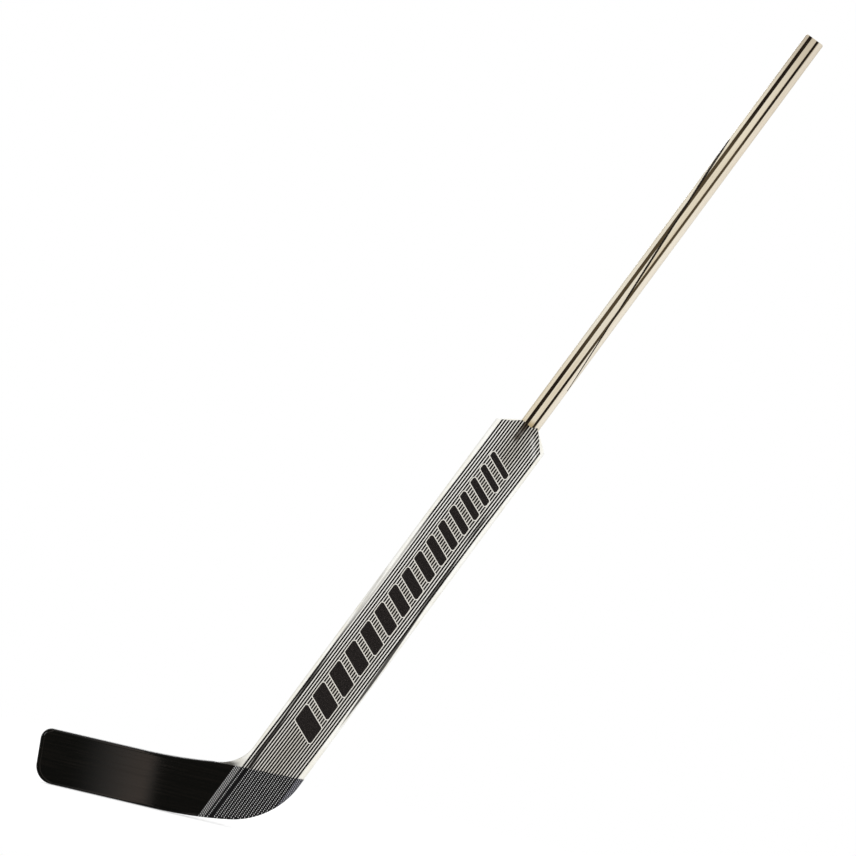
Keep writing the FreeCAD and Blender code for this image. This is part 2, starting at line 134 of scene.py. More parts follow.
class Graph:
    """Adds nodes to one node tree."""

    def __init__(self, tree: bpy.types.NodeTree) -> None:
        """Start with an empty tree."""
        self.tree = tree
        tree.nodes.clear()

    def node(self, kind: str, settings: dict | None = None, inputs: dict | None = None) -> bpy.types.Node:
        """Add a node.

        Args:
            kind: The node's type name.
            settings: Properties to set first.
            inputs: Socket names or numbers with the values or links that they take.

        Returns:
            The new node.
        """
        made = self.tree.nodes.new(kind)
        for name, setting in (settings or {}).items():
            setattr(made, name, setting)
        for name, item in (inputs or {}).items():
            source = item.socket if isinstance(item, Value) else item
            if isinstance(source, Socket):
                self.tree.links.new(source, made.inputs[name])
            else:
                made.inputs[name].default_value = source
        return made

    def math(self, operation: str, *terms: Number) -> Value:
        """Value of a Math node on its terms."""
        made = self.node("ShaderNodeMath", {"operation": operation}, dict(enumerate(terms)))
        return Value(self, made.outputs[0])

    def dot(self, vector: Socket, *direction: float) -> Value:
        """Length of a vector along a fixed direction."""
        made = self.node("ShaderNodeVectorMath", {"operation": "DOT_PRODUCT"}, {0: vector, 1: direction})
        return Value(self, made.outputs["Value"])

    def parts(self, vector: Socket) -> list[Value]:
        """The three components of a vector."""
        return [self.dot(vector, *axis) for axis in ((1.0, 0.0, 0.0), (0.0, 1.0, 0.0), (0.0, 0.0, 1.0))]

    def ramp(self, value: Value, low: float, high: float, start: float = 0.0, end: float = 1.0) -> Value:
        """Smooth change from start to end while a value goes from low to high.

        Args:
            value: What the change follows.
            low: The value at which it starts.
            high: The value at which it ends.
            start: Result at low and before it.
            end: Result at high and after it.

        Returns:
            The result as a value.
        """
        sockets = {"Value": value, "From Min": low, "From Max": high, "To Min": start, "To Max": end}
        made = self.node("ShaderNodeMapRange", {"interpolation_type": "SMOOTHSTEP"}, sockets)
        return Value(self, made.outputs[0])

    def band(self, value: Value, low: float, high: float, soft: float) -> Value:
        """Mask that is one between low and high, with edges that are soft wide."""
        rise = self.ramp(value, low - soft / 2, low + soft / 2)
        return rise * self.ramp(value, high - soft / 2, high + soft / 2, 1.0, 0.0)

    def wave(self, distance: Value, pitch: float) -> Value:
        """Straight rise and fall from nought to one and back over each pitch."""
        return self.math("PINGPONG", distance / pitch, 0.5) * 2.0

    def rows(self, distance: Value, pitch: float, low: float = 0.25, high: float = 0.75) -> Value:
        """Rows of yarn at a pitch, which rise between two shares of the way from gap to row."""
        return self.ramp(self.wave(distance, pitch), low, high)

    def noise(self, vector: Socket, scale: float = 1.0, detail: float = 2.0, rough: float = 0.5) -> Value:
        """Noise from 0 to 1 at a vector, with as many finer layers as the detail, as strong as rough."""
        sockets = {"Vector": vector, "Scale": scale, "Detail": detail, "Roughness": rough}
        return Value(self, self.node("ShaderNodeTexNoise", None, sockets).outputs[0])

    def cells(self, vector: Socket, scale: float) -> Value:
        """Distance from the nearest of scattered points."""
        made = self.node("ShaderNodeTexVoronoi", None, {"Vector": vector, "Scale": scale})
        return Value(self, made.outputs["Distance"])

    def mix(self, share: Number, first: Tint, second: Tint) -> Socket:
        """Colour between two colours, by the share of the second one."""
        sockets = {0: share, 6: rgba(first), 7: rgba(second)}
        return self.node("ShaderNodeMix", {"data_type": "RGBA"}, sockets).outputs[2]

    def bump(self, height: Value, distance: float, strength: float = 0.4) -> Socket:
        """Normal of a surface with this height, where a height of 1 is the distance."""
        sockets = {"Strength": strength, "Distance": distance, "Height": height}
        return self.node("ShaderNodeBump", None, sockets).outputs[0]

    def place(self) -> Socket:
        """Where a point of the surface is in the model's frame."""
        return self.node("ShaderNodeTexCoord").outputs["Object"]

    def surface(self, **sockets: object) -> None:
        """Finish a material with a Principled shader.

        Args:
            sockets: Its inputs, with underscores for spaces.
        """
        named = {name.replace("_", " "): item for name, item in sockets.items()}
        shader = self.node("ShaderNodeBsdfPrincipled", None, named)
        self.node("ShaderNodeOutputMaterial", None, {"Surface": shader.outputs[0]})


def rgba(tint: Tint) -> tuple[float, ...] | Socket:
    """A colour with its alpha, or a socket as it is."""
    return (*tint, 1.0) if isinstance(tint, tuple) else tint


def srgb(*channels: int) -> Colour:
    """Linear colour of a screen colour whose channels run from 0 to 255."""
    shares = [channel / 255 for channel in channels]
    return tuple(part / 12.92 if part <= 0.04045 else ((part + 0.055) / 1.055) ** 2.4 for part in shares)


@dataclass(frozen=True)
class Grain:
    """Noise that is stretched along up to three directions.

    Attributes:
        rates: How fast it changes along each direction.
        detail: How many finer layers it has.
        rough: How strong they are.
    """

    rates: tuple[float, ...]
    detail: float = 2.0
    rough: float = 0.5

    def at(self, graph: Graph, *distances: Value) -> Value:
        """Noise from 0 to 1 at a place.

        Args:
            graph: The graph to add to.
            distances: The place's distance along each direction.

        Returns:
            The noise as a value.
        """
        scaled = dict(enumerate(distance * rate for distance, rate in zip(distances, self.rates)))
        place = graph.node("ShaderNodeCombineXYZ", None, scaled).outputs[0]
        return graph.noise(place, detail=self.detail, rough=self.rough)


# Layout of the handle and its cloth

@dataclass(frozen=True)
class HandleSpace:
    """Coordinates of the handle: aside from its axis, along it from the ice, and depth.

    Attributes:
        heel_reach: Where the axis meets the ice, from the origin.
        lie: Angle between the axis and the ice, in degrees.
    """

    heel_reach: float = 0.131
    lie: float = 67.0

    @property
    def sine(self) -> float:
        """Sine of the lie."""
        return math.sin(math.radians(self.lie))

    @property
    def cosine(self) -> float:
        """Cosine of the lie."""
        return math.cos(math.radians(self.lie))

    @property
    def across(self) -> Vector:
        """Direction aside from the axis, to the trailing side."""
        return Vector((self.sine, 0.0, -self.cosine))

    @property
    def up(self) -> Vector:
        """Direction up the axis."""
        return Vector((self.cosine, 0.0, self.sine))

    def point(self, aside: float, along: float, depth: float = 0.0) -> Vector:
        """The point of the model's frame at these distances."""
        x = self.heel_reach + aside * self.sine + along * self.cosine
        return Vector((x, depth, along * self.sine - aside * self.cosine))

    def read(self, graph: Graph) -> tuple[Value, Value, Value]:
        """Find out where the shaded point is.

        Args:
            graph: The graph to add to.

        Returns:
            Its distances aside, along and in depth, in millimetres.
        """
        place = graph.place()
        sine, cosine = self.sine * MM, self.cosine * MM
        aside = graph.dot(place, sine, 0.0, -cosine) - self.heel_reach * sine
        along = graph.dot(place, cosine, 0.0, sine) - self.heel_reach * cosine
        return aside, along, graph.dot(place, 0.0, MM, 0.0)


HANDLE = HandleSpace()


@dataclass(frozen=True)
class Stripes:
    """Layout of the cloth's stripes, which lie slightly askew of the handle.

    Attributes:
        middle: Middle of the stripes where they would meet the ice, aside from the handle's axis.
        lean: Their shift to the trailing side for each unit along the handle.
        pair: Width of a dark and a pale stripe together.
        dark: Share of it that is dark.
        pairs: How many pairs there are; one more dark stripe ends them.
    """

    middle: float = -0.0052
    lean: float = 0.005
    pair: float = 0.00409
    dark: float = 0.635
    pairs: int = 18

    def edges(self) -> list[float]:
        """Find the edges of the stripes.

        Returns:
            Where they would meet the ice, from the lead side.
        """
        first = self.middle - (self.pairs + self.dark) * self.pair / 2
        shares = [number // 2 + self.dark * (number % 2) for number in range(2 * self.pairs + 2)]
        return [first + share * self.pair for share in shares]


STRIPES = Stripes()


# Marks on the finishes

@dataclass(frozen=True)
class Ribbon:
    """Dark ribbon of yarn that drifts across the stripes and off the edge of the cloth.

    Attributes:
        start: Its middle where it would meet the ice, in millimetres aside.
        slope: Its shift to the trailing side for each unit along the paddle.
        edge_start: The same start for its run down the rounded edge of the foam.
        edge_slope: Its shift there.
        half: Half its width in millimetres.
        thin: Half its width where it has narrowed.
        narrows: Heights between which it narrows, in millimetres along the handle.
        rises: Heights between which it widens from its thin end; it is fully dark half-way.
        falls: Heights between which it fades to a trace.
        ends: Heights between which the trace ends.
        full: How dark it is at most.
        trace: How dark its trace is.
        tip: Share of its width at its thin end.
        soft: How far its edges fade.
    """

    start: float
    slope: float
    edge_start: float
    edge_slope: float
    half: float
    thin: float
    narrows: Span
    rises: Span
    falls: Span
    ends: Span
    full: float
    trace: float
    tip: float = 0.25
    soft: float = 0.8

    def mask(self, graph: Graph, aside: Value, along: Value) -> Value:
        """Mark the ribbon.

        Args:
            graph: The graph to add to.
            aside: Distance from the handle's axis.
            along: Distance along it.

        Returns:
            How dark it is at that place, from 0 to 1.
        """
        on_edge = along * self.edge_slope + self.edge_start
        middle = graph.math("MINIMUM", along * self.slope + self.start, on_edge)
        half = graph.ramp(along, *self.narrows, self.half, self.thin)
        half *= graph.ramp(along, *self.rises, self.tip, 1.0)
        cover = graph.ramp(abs(aside - middle) - half, -self.soft, self.soft, 1.0, 0.0)
        strength = graph.ramp(along, *self.falls, self.full - self.trace, 0.0)
        strength += graph.ramp(along, *self.ends, self.trace, 0.0)
        return cover * strength * graph.ramp(along, self.rises[0], sum(self.rises) / 2)


RIBBONS = (
    Ribbon(
        start=-30.2, slope=-0.0327, edge_start=0.0, edge_slope=0.0, half=2.5, thin=1.5,
        narrows=(120.0, 240.0), rises=(-60.0, -40.0), falls=(245.0, 335.0), ends=(425.0, 455.0),
        full=0.94, trace=0.3,
    ),
    Ribbon(
        start=50.06, slope=-0.0385, edge_start=41.45, edge_slope=-0.012, half=2.3, thin=0.6,
        narrows=(380.0, 660.0), rises=(195.0, 300.0), falls=(550.0, 710.0), ends=(700.0, 720.0),
        full=0.9, trace=0.0,
    ),
)


@dataclass(frozen=True)
class PlyLine:
    """Dark line that a dyed ply shows on the faces of the handle.

    Attributes:
        start: Its middle at the neck, in millimetres aside.
        lean: Its shift to the trailing side for each unit along the handle.
        half: Half its width in millimetres.
        soft: How far the dye fades into the pale wood.
    """

    start: float
    lean: float
    half: float
    soft: float = 0.4

    def mask(self, graph: Graph, aside: Value, along: Value) -> Value:
        """One on the line and nought beside it."""
        off = abs(aside - self.start - (along - NECK * MM) * self.lean)
        return graph.ramp(off, self.half - self.soft, self.half + self.soft, 1.0, 0.0)


def marked(graph: Graph, marks: Sequence[Ribbon | PlyLine], aside: Value, along: Value) -> Value:
    """Mask of two marks together."""
    return graph.math("MAXIMUM", *(mark.mask(graph, aside, along) for mark in marks))


@dataclass(frozen=True)
class FilmAndSheen:
    """Film and painted sheen on the shaft's front: pale below a slanting line, and the dark lines faded under
    it.

    Attributes:
        high: Where the line leaves the lead side, in millimetres along the handle.
        low: Where it leaves the trail side.
        edge: How far the pale film fades at the line.
        front: Depths between which the film ends on the long corners.
        foot: Height over which it thins out at its low end.
        head: Heights about the line's high end between which it thins out there.
    """

    high: float = 1255.0
    low: float = 813.0
    edge: float = 3.0
    front: Span = (-9.0, -6.0)
    foot: float = 110.0
    head: Span = (-30.0, 75.0)

    def sheen_veil(self, graph: Graph, along: Value, depth: Value) -> Value:
        """Mark the whole film, over which the dark lines get a painted sheen.

        Args:
            graph: The graph to add to.
            along: Distance along the handle.
            depth: Depth from its middle.

        Returns:
            The film as a mask.
        """
        front = graph.ramp(depth, *self.front, 1.0, 0.0)
        rise = graph.ramp(along, self.low, self.low + self.foot)
        return front * rise * graph.ramp(along, self.high + self.head[0], self.high + self.head[1], 1.0, 0.0)

    def cover(self, graph: Graph, aside: Value, along: Value, depth: Value) -> Value:
        """Mark the pale part of the film, which is partly painted sheen.

        Args:
            graph: The graph to add to.
            aside: Distance from the handle's axis.
            along: Distance along it.
            depth: Depth from its middle.

        Returns:
            The pale film as a mask.
        """
        reach = HALF_WIDTH * MM
        line = self.high - (aside + reach) * ((self.high - self.low) / (2 * reach))
        return graph.ramp(line - along, 0.0, self.edge) * self.sheen_veil(graph, along, depth)


FILM_AND_SHEEN = FilmAndSheen()


# Finishes

class Finish:
    """A finish, which makes a material by filling its graph."""

    def material(self, name: str) -> bpy.types.Material:
        """Make a material.

        Args:
            name: Name of the material.

        Returns:
            The new material.
        """
        made = bpy.data.materials.new(name)
        made.use_nodes = True
        self.shade(Graph(made.node_tree))
        return made

    def shade(self, graph: Graph) -> None:
        """Fill the graph of a material, which each finish does in its own way."""
        raise NotImplementedError


@dataclass(frozen=True)
class PlyWood(Finish):
    """Lacquered pale ply with long grain, and the dark lines of the dyed plies.

    Attributes:
        light: Colour between the streaks.
        streak: Colour of the growth streaks.
        seed: Shift that makes the grain of each ply differ.
        worn: How much of the soiled colour there is at most.
        pore: Colour of the short dark pores.
        end: Colour of the end grain at the butt.
        filmed_and_sheen: Colour of the pale film, partly painted sheen.
        resin: Colour where resin from the paddle has soaked in at the neck.
        soiled: Colour towards the butt, where hands have darkened it.
        dye: Colour of the dark lines.
        dyed_fibre: Colour of the fibres that took less dye.
        dyed_end: Colour of the dyed end grain.
        sheen_veiled_dye: Colour of the dark lines under the film, a painted sheen.
        lines: The dark lines.
        growth: Noise of the streaks.
        fibres: Noise of the fibres.
        dashes: Noise of the pores.
        drips: Noise of the edge of the soaked resin.
        rings: Noise of the end grain.
        soak: Heights between which the resin ends, in millimetres along the handle.
        drip: How far that edge wanders.
        soaked: Sides of the strip that took most of the resin.
        handled: Heights between which the wood gets soiled.
        smudge: How far that edge wanders.
        cut: Heights between which the end grain starts.
    """

    light: Colour
    streak: Colour
    seed: float
    worn: float = 0.6
    pore: Colour = srgb(150, 122, 88)
    end: Colour = srgb(190, 172, 140)
    filmed_and_sheen: Colour = srgb(240, 236, 224)
    resin: Colour = srgb(168, 145, 100)
    soiled: Colour = srgb(182, 168, 146)
    dye: Colour = srgb(22, 13, 4)
    dyed_fibre: Colour = srgb(74, 56, 30)
    dyed_end: Colour = srgb(44, 34, 27)
    sheen_veiled_dye: Colour = srgb(84, 70, 47)
    lines: tuple[PlyLine, PlyLine] = (PlyLine(-6.3, -0.0017, 2.6), PlyLine(5.5, -0.0009, 1.85))
    growth: Grain = Grain((0.16, 0.1, 0.0035), 3.0, 0.55)
    fibres: Grain = Grain((1.9, 1.9, 0.022), 3.0, 0.6)
    dashes: Grain = Grain((3.2, 3.2, 0.09), 1.0)
    drips: Grain = Grain((0.3, 0.3))
    rings: Grain = Grain((0.5, 2.6))
    soak: Span = (743.5, 755.5)
    drip: float = 9.0
    soaked: Span = (-4.0, 4.4)
    handled: Span = (1330.0, 1530.0)
    smudge: float = 120.0
    cut: Span = (1448.1, 1448.8)

    def shade(self, graph: Graph) -> None:
        """Fill the graph of a material.

        Args:
            graph: The graph to fill.
        """
        aside, along, depth = HANDLE.read(graph)
        shift = aside + self.seed
        growth = self.growth.at(graph, shift, depth, along)
        fibre = self.fibres.at(graph, shift, depth, along)
        pores = graph.ramp(self.dashes.at(graph, shift, depth, along), 0.66, 0.74)
        streaks = graph.ramp(growth, 0.36, 0.7) * 0.7 + graph.ramp(fibre, 0.35, 0.75) * 0.35
        wood = graph.mix(streaks, self.light, self.streak)
        wood = graph.mix(pores * 0.4, wood, self.pore)
        # Painted sheen: below the slanting line the wood is paler, partly a real film and partly glare on the
        # shaft's middle painted in
        wood = graph.mix(FILM_AND_SHEEN.cover(graph, aside, along, depth) * 0.35, wood, self.filmed_and_sheen)
        soaked = graph.ramp(along + self.drips.at(graph, aside, depth) * self.drip, *self.soak, 1.0, 0.0)
        wood = graph.mix(soaked * (0.15 + graph.band(aside, *self.soaked, 1.6) * 0.7), wood, self.resin)
        handled = graph.ramp(along + growth * self.smudge, *self.handled)
        wood = graph.mix(handled * self.worn, wood, self.soiled)
        dyed = graph.mix(graph.ramp(fibre, 0.42, 0.8) * 0.5, self.dye, self.dyed_fibre)
        # Painted sheen: under the film the dark lines look faded, as glare on the shaft's middle would fade
        # them
        dyed = graph.mix(FILM_AND_SHEEN.sheen_veil(graph, along, depth) * 0.75, dyed, self.sheen_veiled_dye)
        dark = marked(graph, self.lines, aside, along)
        wood = graph.mix(dark, wood, dyed)
        cut = graph.ramp(along, *self.cut)
        ends = graph.mix(graph.ramp(self.rings.at(graph, shift, depth), 0.35, 0.65), self.end, self.streak)
        ends = graph.mix(dark, ends, self.dyed_end)
        graph.surface(
            Base_Color=graph.mix(cut, wood, ends),
            Roughness=0.22 + fibre * 0.12 + cut * 0.35,
            Normal=graph.bump(fibre * 0.7 + (1.0 - pores) * 0.3, 0.00006),
            Specular_IOR_Level=0.3,
            Coat_Weight=0.15,
            Coat_Roughness=0.12,
        )


@dataclass(frozen=True)
class Foam(Finish):
    """Sealed ivory foam with fine cells, grey resin along the blade's top edge and painted shade in the
    throat.

    Attributes:
        light: Colour of the clean foam.
        patch: Colour of its darker patches.
        cell: Colour in the open cells.
        throat_resin_and_shade: Grey of the resin by the blade's top edge, which also serves as painted shade
            there and over the throat.
        ribbon: Colour of the ribbons where they have left the cloth.
        ribbon_depth: How dark they are here against the cloth.
        patches: How many patches there are to a metre, about.
        cells: How many cells there are.
        pits: How many places with open cells there are.
        runs: How many runs the edge of the resin and painted shade has.
        skin: How many grains the sealed skin has.
        run: How far the edge of the resin and painted shade wanders, in millimetres.
        tilt: Rise of that edge for each unit towards the heel.
        throat_resin_and_shade_marks: Strength of the resin with painted shade along the blade's top edge and
            of the painted shade over the throat, with the heights and the reaches between which each ends.
    """

    light: Colour = srgb(253, 252, 247)
    patch: Colour = srgb(244, 241, 230)
    cell: Colour = srgb(218, 213, 198)
    # Grey of the resin by the blade's top edge, which also paints the shade in that crease and over the
    # throat
    throat_resin_and_shade: Colour = srgb(92, 90, 84)
    ribbon: Colour = srgb(42, 38, 34)
    ribbon_depth: float = 1.06
    patches: float = 38.0
    cells: float = 620.0
    pits: float = 160.0
    runs: float = 90.0
    skin: float = 900.0
    run: float = 5.0
    tilt: float = 0.06
    throat_resin_and_shade_marks: tuple[tuple[float, Span, Span], ...] = (
        (0.75, (88.0, 95.0), (106.0, 124.0)), (0.25, (94.0, 112.0), (118.0, 138.0)),
    )

    def shade(self, graph: Graph) -> None:
        """Fill the graph of a material.

        Args:
            graph: The graph to fill.
        """
        place = graph.place()
        patches = graph.ramp(graph.noise(place, self.patches, 4.0, 0.6), 0.38, 0.68)
        pits = graph.ramp(graph.cells(place, self.cells), 0.16, 0.3, 1.0, 0.0)
        pits *= graph.ramp(graph.noise(place, self.pits), 0.5, 0.62)
        foam = graph.mix(patches, self.light, self.patch)
        foam = graph.mix(pits * 0.6, foam, self.cell)
        reach, height = graph.dot(place, MM, 0.0, 0.0), graph.dot(place, 0.0, 0.0, MM)
        edge = height - reach * self.tilt + graph.noise(place, self.runs) * self.run
        # Painted shade: the thick mark is grey resin along the blade's top edge, deepened as painted shade in
        # that crease; the thin one is painted shade over the throat's foam
        thick, thin = (
            graph.ramp(edge, *heights, strength, 0.0) * graph.ramp(reach, *reaches, 1.0, 0.0)
            for strength, heights, reaches in self.throat_resin_and_shade_marks
        )
        throat_resin_and_shade = thick + thin
        aside, along, _ = HANDLE.read(graph)
        foam = graph.mix(marked(graph, RIBBONS, aside, along) * self.ribbon_depth, foam, self.ribbon)
        skin = graph.noise(place, self.skin)
        # The foam takes the resin's grey and the painted shade of the throat here
        graph.surface(
            Base_Color=graph.mix(throat_resin_and_shade, foam, self.throat_resin_and_shade),
            Roughness=0.46 + skin * 0.16 - throat_resin_and_shade * 0.15,
            Normal=graph.bump(skin * 0.5 - pits, 0.00012, 0.7),
        )


@dataclass(frozen=True)
class Cloth(Finish):
    """One colour of the striped cloth, soaked in clear resin.

    Attributes:
        yarn: Colour of the yarns in the middle, over the handle.
        gap: Colour between the threads.
        edge: Colour of the yarns towards the edges of the paddle, over the foam.
        darkened: Colour under the two ribbons.
        stained: Colour by the neck, where the handle's dark ply shows through.
        bared: Colour where the outermost stripe has worn off.
        thread: Distance between threads along the paddle in millimetres.
        waver: Noise of the threads' course.
        mottle: Noise of the resin.
        foam_reach: Distances from the handle's axis between which the edge colour sets in.
        foam_rise: Heights along the handle between which it grows.
        stain_rise: Heights between which the stain sets in.
        stain_head: Heights between which it deepens at the neck.
        stain_sides: Sides of the stain.
        worn_sides: Sides of the worn stripe, where they would meet the ice.
        worn_stretch: Heights between which it is worn.
    """

    yarn: Colour
    gap: Colour
    edge: Colour
    darkened: Colour
    stained: Colour
    bared: Colour = srgb(232, 230, 223)
    thread: float = 1.35
    waver: Grain = Grain((0.4, 0.02, 0.1))
    mottle: Grain = Grain((0.35, 0.12, 0.1), 3.0)
    foam_reach: Span = (0.0, 36.0)
    foam_rise: Span = (60.0, 450.0)
    stain_rise: Span = (706.0, 718.0)
    stain_head: Span = (722.0, 737.0)
    stain_sides: Span = (-10.0, -1.5)
    worn_sides: Span = (-43.3, -37.5)
    worn_stretch: Span = (350.0, 505.0)

    def shade(self, graph: Graph) -> None:
        """Fill the graph of a material.

        Args:
            graph: The graph to fill.
        """
        aside, along, depth = HANDLE.read(graph)
        waver = self.waver.at(graph, aside, along, depth)
        thread = graph.wave(along + waver * 1.4, self.thread)
        mottle = self.mottle.at(graph, aside, along, depth)
        gaps = graph.ramp(thread, 0.12, 0.4, 0.75, 0.0) + graph.ramp(mottle, 0.45, 0.8) * 0.3
        cloth = graph.mix(gaps, self.yarn, self.gap)
        over_foam = graph.ramp(abs(aside), *self.foam_reach) * graph.ramp(along, *self.foam_rise, 0.45, 1.0)
        cloth = graph.mix(over_foam * 0.8, cloth, self.edge)
        cloth = graph.mix(marked(graph, RIBBONS, aside, along), cloth, self.darkened)
        stain = graph.ramp(along + waver * 8.0, *self.stain_rise, 0.0, 0.84)
        stain += graph.ramp(along, *self.stain_head, 0.0, 0.13)
        cloth = graph.mix(stain * graph.band(aside, *self.stain_sides, 2.5), cloth, self.stained)
        worn = graph.ramp(aside - along * STRIPES.lean, *self.worn_sides, 0.9, 0.0)
        cloth = graph.mix(worn * graph.band(along, *self.worn_stretch, 110.0), cloth, self.bared)
        graph.surface(
            Base_Color=cloth,
            Roughness=0.2 + mottle * 0.12 + thread * 0.04,
            Normal=graph.bump(thread * 0.6 + mottle * 0.4, 0.00006, 0.3),
            Specular_IOR_Level=0.3,
            Coat_Weight=0.15,
            Coat_Roughness=0.1,
        )


@dataclass(frozen=True)
class Paint(Finish):
    """Semi-gloss black paint on the blade, with fine strokes along it.

    Attributes:
        full: Colour where the paint is thick.
        thin: Warmer colour where it is thin.
        gloss: Roughness of the thick paint.
        dull: Roughness that a stroke adds.
        strokes: Noise of the strokes.
    """

    full: Colour = srgb(12, 12, 10)
    thin: Colour = srgb(19, 17, 14)
    gloss: float = 0.06
    dull: float = 0.06
    strokes: Grain = Grain((6.0, 90.0, 420.0), 3.0)

    def shade(self, graph: Graph) -> None:
        """Fill the graph of a material.

        Args:
            graph: The graph to fill.
        """
        stroke = self.strokes.at(graph, *graph.parts(graph.place()))
        graph.surface(
            Base_Color=graph.mix(graph.ramp(stroke, 0.4, 0.75), self.full, self.thin),
            Roughness=self.gloss + graph.ramp(stroke, 0.4, 0.7) * self.dull,
            Normal=graph.bump(stroke, 0.00001),
            Specular_IOR_Level=0.4,
        )


@dataclass(frozen=True)
class Weave(Finish):
    """Fine bare weave of the sleeve.

    Attributes:
        yarn: Colour of the yarns.
        gap: Colour between them.
        pitch: Distance between rows of yarn in millimetres.
        step: Distance between the crossings in a row.
        lean: Slant of the crossings across the rows.
        mottle: Noise of the resin.
    """

    yarn: Colour
    gap: Colour = srgb(27, 27, 29)
    pitch: float = 2.9
    step: float = 3.1
    lean: float = 0.37
    mottle: Grain = Grain((0.4, 0.4, 0.4), 3.0)

    def shade(self, graph: Graph) -> None:
        """Fill the graph of a material.

        Args:
            graph: The graph to fill.
        """
        aside, along, depth = HANDLE.read(graph)
        crossings = graph.rows(along + aside * self.lean + depth, self.step, 0.3, 0.8)
        check = (0.25 + graph.rows(aside, self.pitch) * 0.75) * crossings
        mottle = self.mottle.at(graph, aside, along, depth)
        graph.surface(
            Base_Color=graph.mix(check * (0.75 + mottle * 0.5), self.gap, self.yarn),
            Roughness=0.28 + mottle * 0.14,
            Normal=graph.bump(check, 0.00006),
            Specular_IOR_Level=0.3,
        )


@dataclass(frozen=True)
class Net(Finish):
    """Dark net over one colour of the striped cloth, which shows as a row of dots.

    Attributes:
        dot: Colour of the cloth in the net's openings.
        yarn: Colour of the net.
        pitch: Distance between the net's cross threads in millimetres.
        lean: Slant of these threads across the stripes.
        waver: Noise of the threads' course.
        mottle: Noise of the resin.
    """

    dot: Colour
    yarn: Colour
    pitch: float = 3.0
    lean: float = 0.37
    waver: Grain = Grain((0.07, 0.07, 0.07))
    mottle: Grain = Grain((0.5, 0.5, 0.5), 3.0)

    def shade(self, graph: Graph) -> None:
        """Fill the graph of a material.

        Args:
            graph: The graph to fill.
        """
        aside, along, depth = HANDLE.read(graph)
        waver = self.waver.at(graph, aside, along, depth) - 0.5
        dots = graph.rows(along + aside * self.lean + depth + waver * 2.0, self.pitch, 0.5, 0.95)
        mottle = self.mottle.at(graph, aside, along, depth)
        graph.surface(
            Base_Color=graph.mix(dots * (0.7 + mottle * 0.5), self.yarn, self.dot),
            Roughness=0.28 + mottle * 0.14,
            Normal=graph.bump(dots, 0.00006),
            Specular_IOR_Level=0.15,
        )


@dataclass(frozen=True)
class Ink(Finish):
    """Flat print or dye, slightly worn.

    Attributes:
        solid: Colour of the print.
        thin: Colour where it lies thin.
        speckle: Noise of the wear.
    """

    solid: Colour
    thin: Colour
    speckle: Grain = Grain((0.8, 0.8, 1.0), 3.0, 0.75)

    def shade(self, graph: Graph) -> None:
        """Fill the graph of a material.

        Args:
            graph: The graph to fill.
        """
        speckle = self.speckle.at(graph, *HANDLE.read(graph))
        graph.surface(
            Base_Color=graph.mix(graph.ramp(speckle, 0.5, 0.68) * 0.7, self.solid, self.thin),
            Roughness=0.24 + speckle * 0.12,
            Normal=graph.bump(speckle, 0.00003),
            Specular_IOR_Level=0.3,
        )


@dataclass(frozen=True)
class HardWood(Finish):
    """Plain hardwood of the hidden tongue.

    Attributes:
        light: Colour between the grain lines.
        dark: Colour of the grain lines.
        lines: Noise of the grain lines.
    """

    light: Colour = srgb(205, 178, 138)
    dark: Colour = srgb(164, 130, 90)
    lines: Grain = Grain((20.0, 500.0, 300.0), 4.0)

    def shade(self, graph: Graph) -> None:
        """Fill the graph of a material.

        Args:
            graph: The graph to fill.
        """
        lines = self.lines.at(graph, *graph.parts(graph.place()))
        graph.surface(
            Base_Color=graph.mix(graph.ramp(lines, 0.3, 0.7), self.light, self.dark),
            Roughness=0.55 + lines * 0.1,
            Normal=graph.bump(lines, 0.0001, 0.5),
        )


@dataclass(frozen=True)
class FloorPaint(Finish):
    """Pale floor that fades into the surround and keeps the stick's shadow.

    Attributes:
        reach: Distances from the middle between which it fades out.
        glow: What the camera sees beside its own light, so that it is white.
        pale: Its grey.
    """

    reach: Span
    glow: float = 0.42
    pale: float = 0.86

    def shade(self, graph: Graph) -> None:
        """Fill the graph of a material.

        Args:
            graph: The graph to fill.
        """
        path = graph.node("ShaderNodeLightPath").outputs
        length = graph.node("ShaderNodeVectorMath", {"operation": "LENGTH"}, {0: graph.place()})
        fade = graph.ramp(Value(graph, length.outputs["Value"]), *self.reach)
        unseen = graph.math("MAXIMUM", fade, Value(graph, path["Is Glossy Ray"]))
        pale = graph.node("ShaderNodeBsdfDiffuse", None, {"Color": (self.pale, self.pale, self.pale, 1.0)})
        dark = graph.node("ShaderNodeBsdfDiffuse", None, {"Color": (0.0, 0.0, 0.0, 1.0)})
        white = graph.node("ShaderNodeEmission", None, {"Color": (1.0, 1.0, 1.0, 1.0), "Strength": self.glow})
        shaders = {0: path["Is Camera Ray"], 1: dark.outputs[0], 2: white.outputs[0]}
        glow = graph.node("ShaderNodeMixShader", None, shaders)
        lit = graph.node("ShaderNodeAddShader", None, {0: pale.outputs[0], 1: glow.outputs[0]})
        clear = graph.node("ShaderNodeBsdfTransparent")
        whole = graph.node("ShaderNodeMixShader", None, {0: unseen, 1: lit.outputs[0], 2: clear.outputs[0]})
        graph.node("ShaderNodeOutputMaterial", None, {"Surface": whole.outputs[0]})


# Meshes

def shell_of(
    points: Sequence[Vector], faces: Sequence[Sequence[int]], marks: Sequence[int] = (),
) -> bmesh.types.BMesh:
    """Make a closed mesh.

    Args:
        points: Its corners in the model's frame.
        faces: Corner numbers of each face.
        marks: Material number of each face, where there is more than one.

    Returns:
        The mesh, with its faces turned outwards.
    """
    shell = bmesh.new()
    corners = [shell.verts.new(point) for point in points]
    for number, face in enumerate(faces):
        made = shell.faces.new([corners[corner] for corner in face])
        made.material_index = marks[number] if marks else 0
    bmesh.ops.recalc_face_normals(shell, faces=shell.faces[:])
    return shell


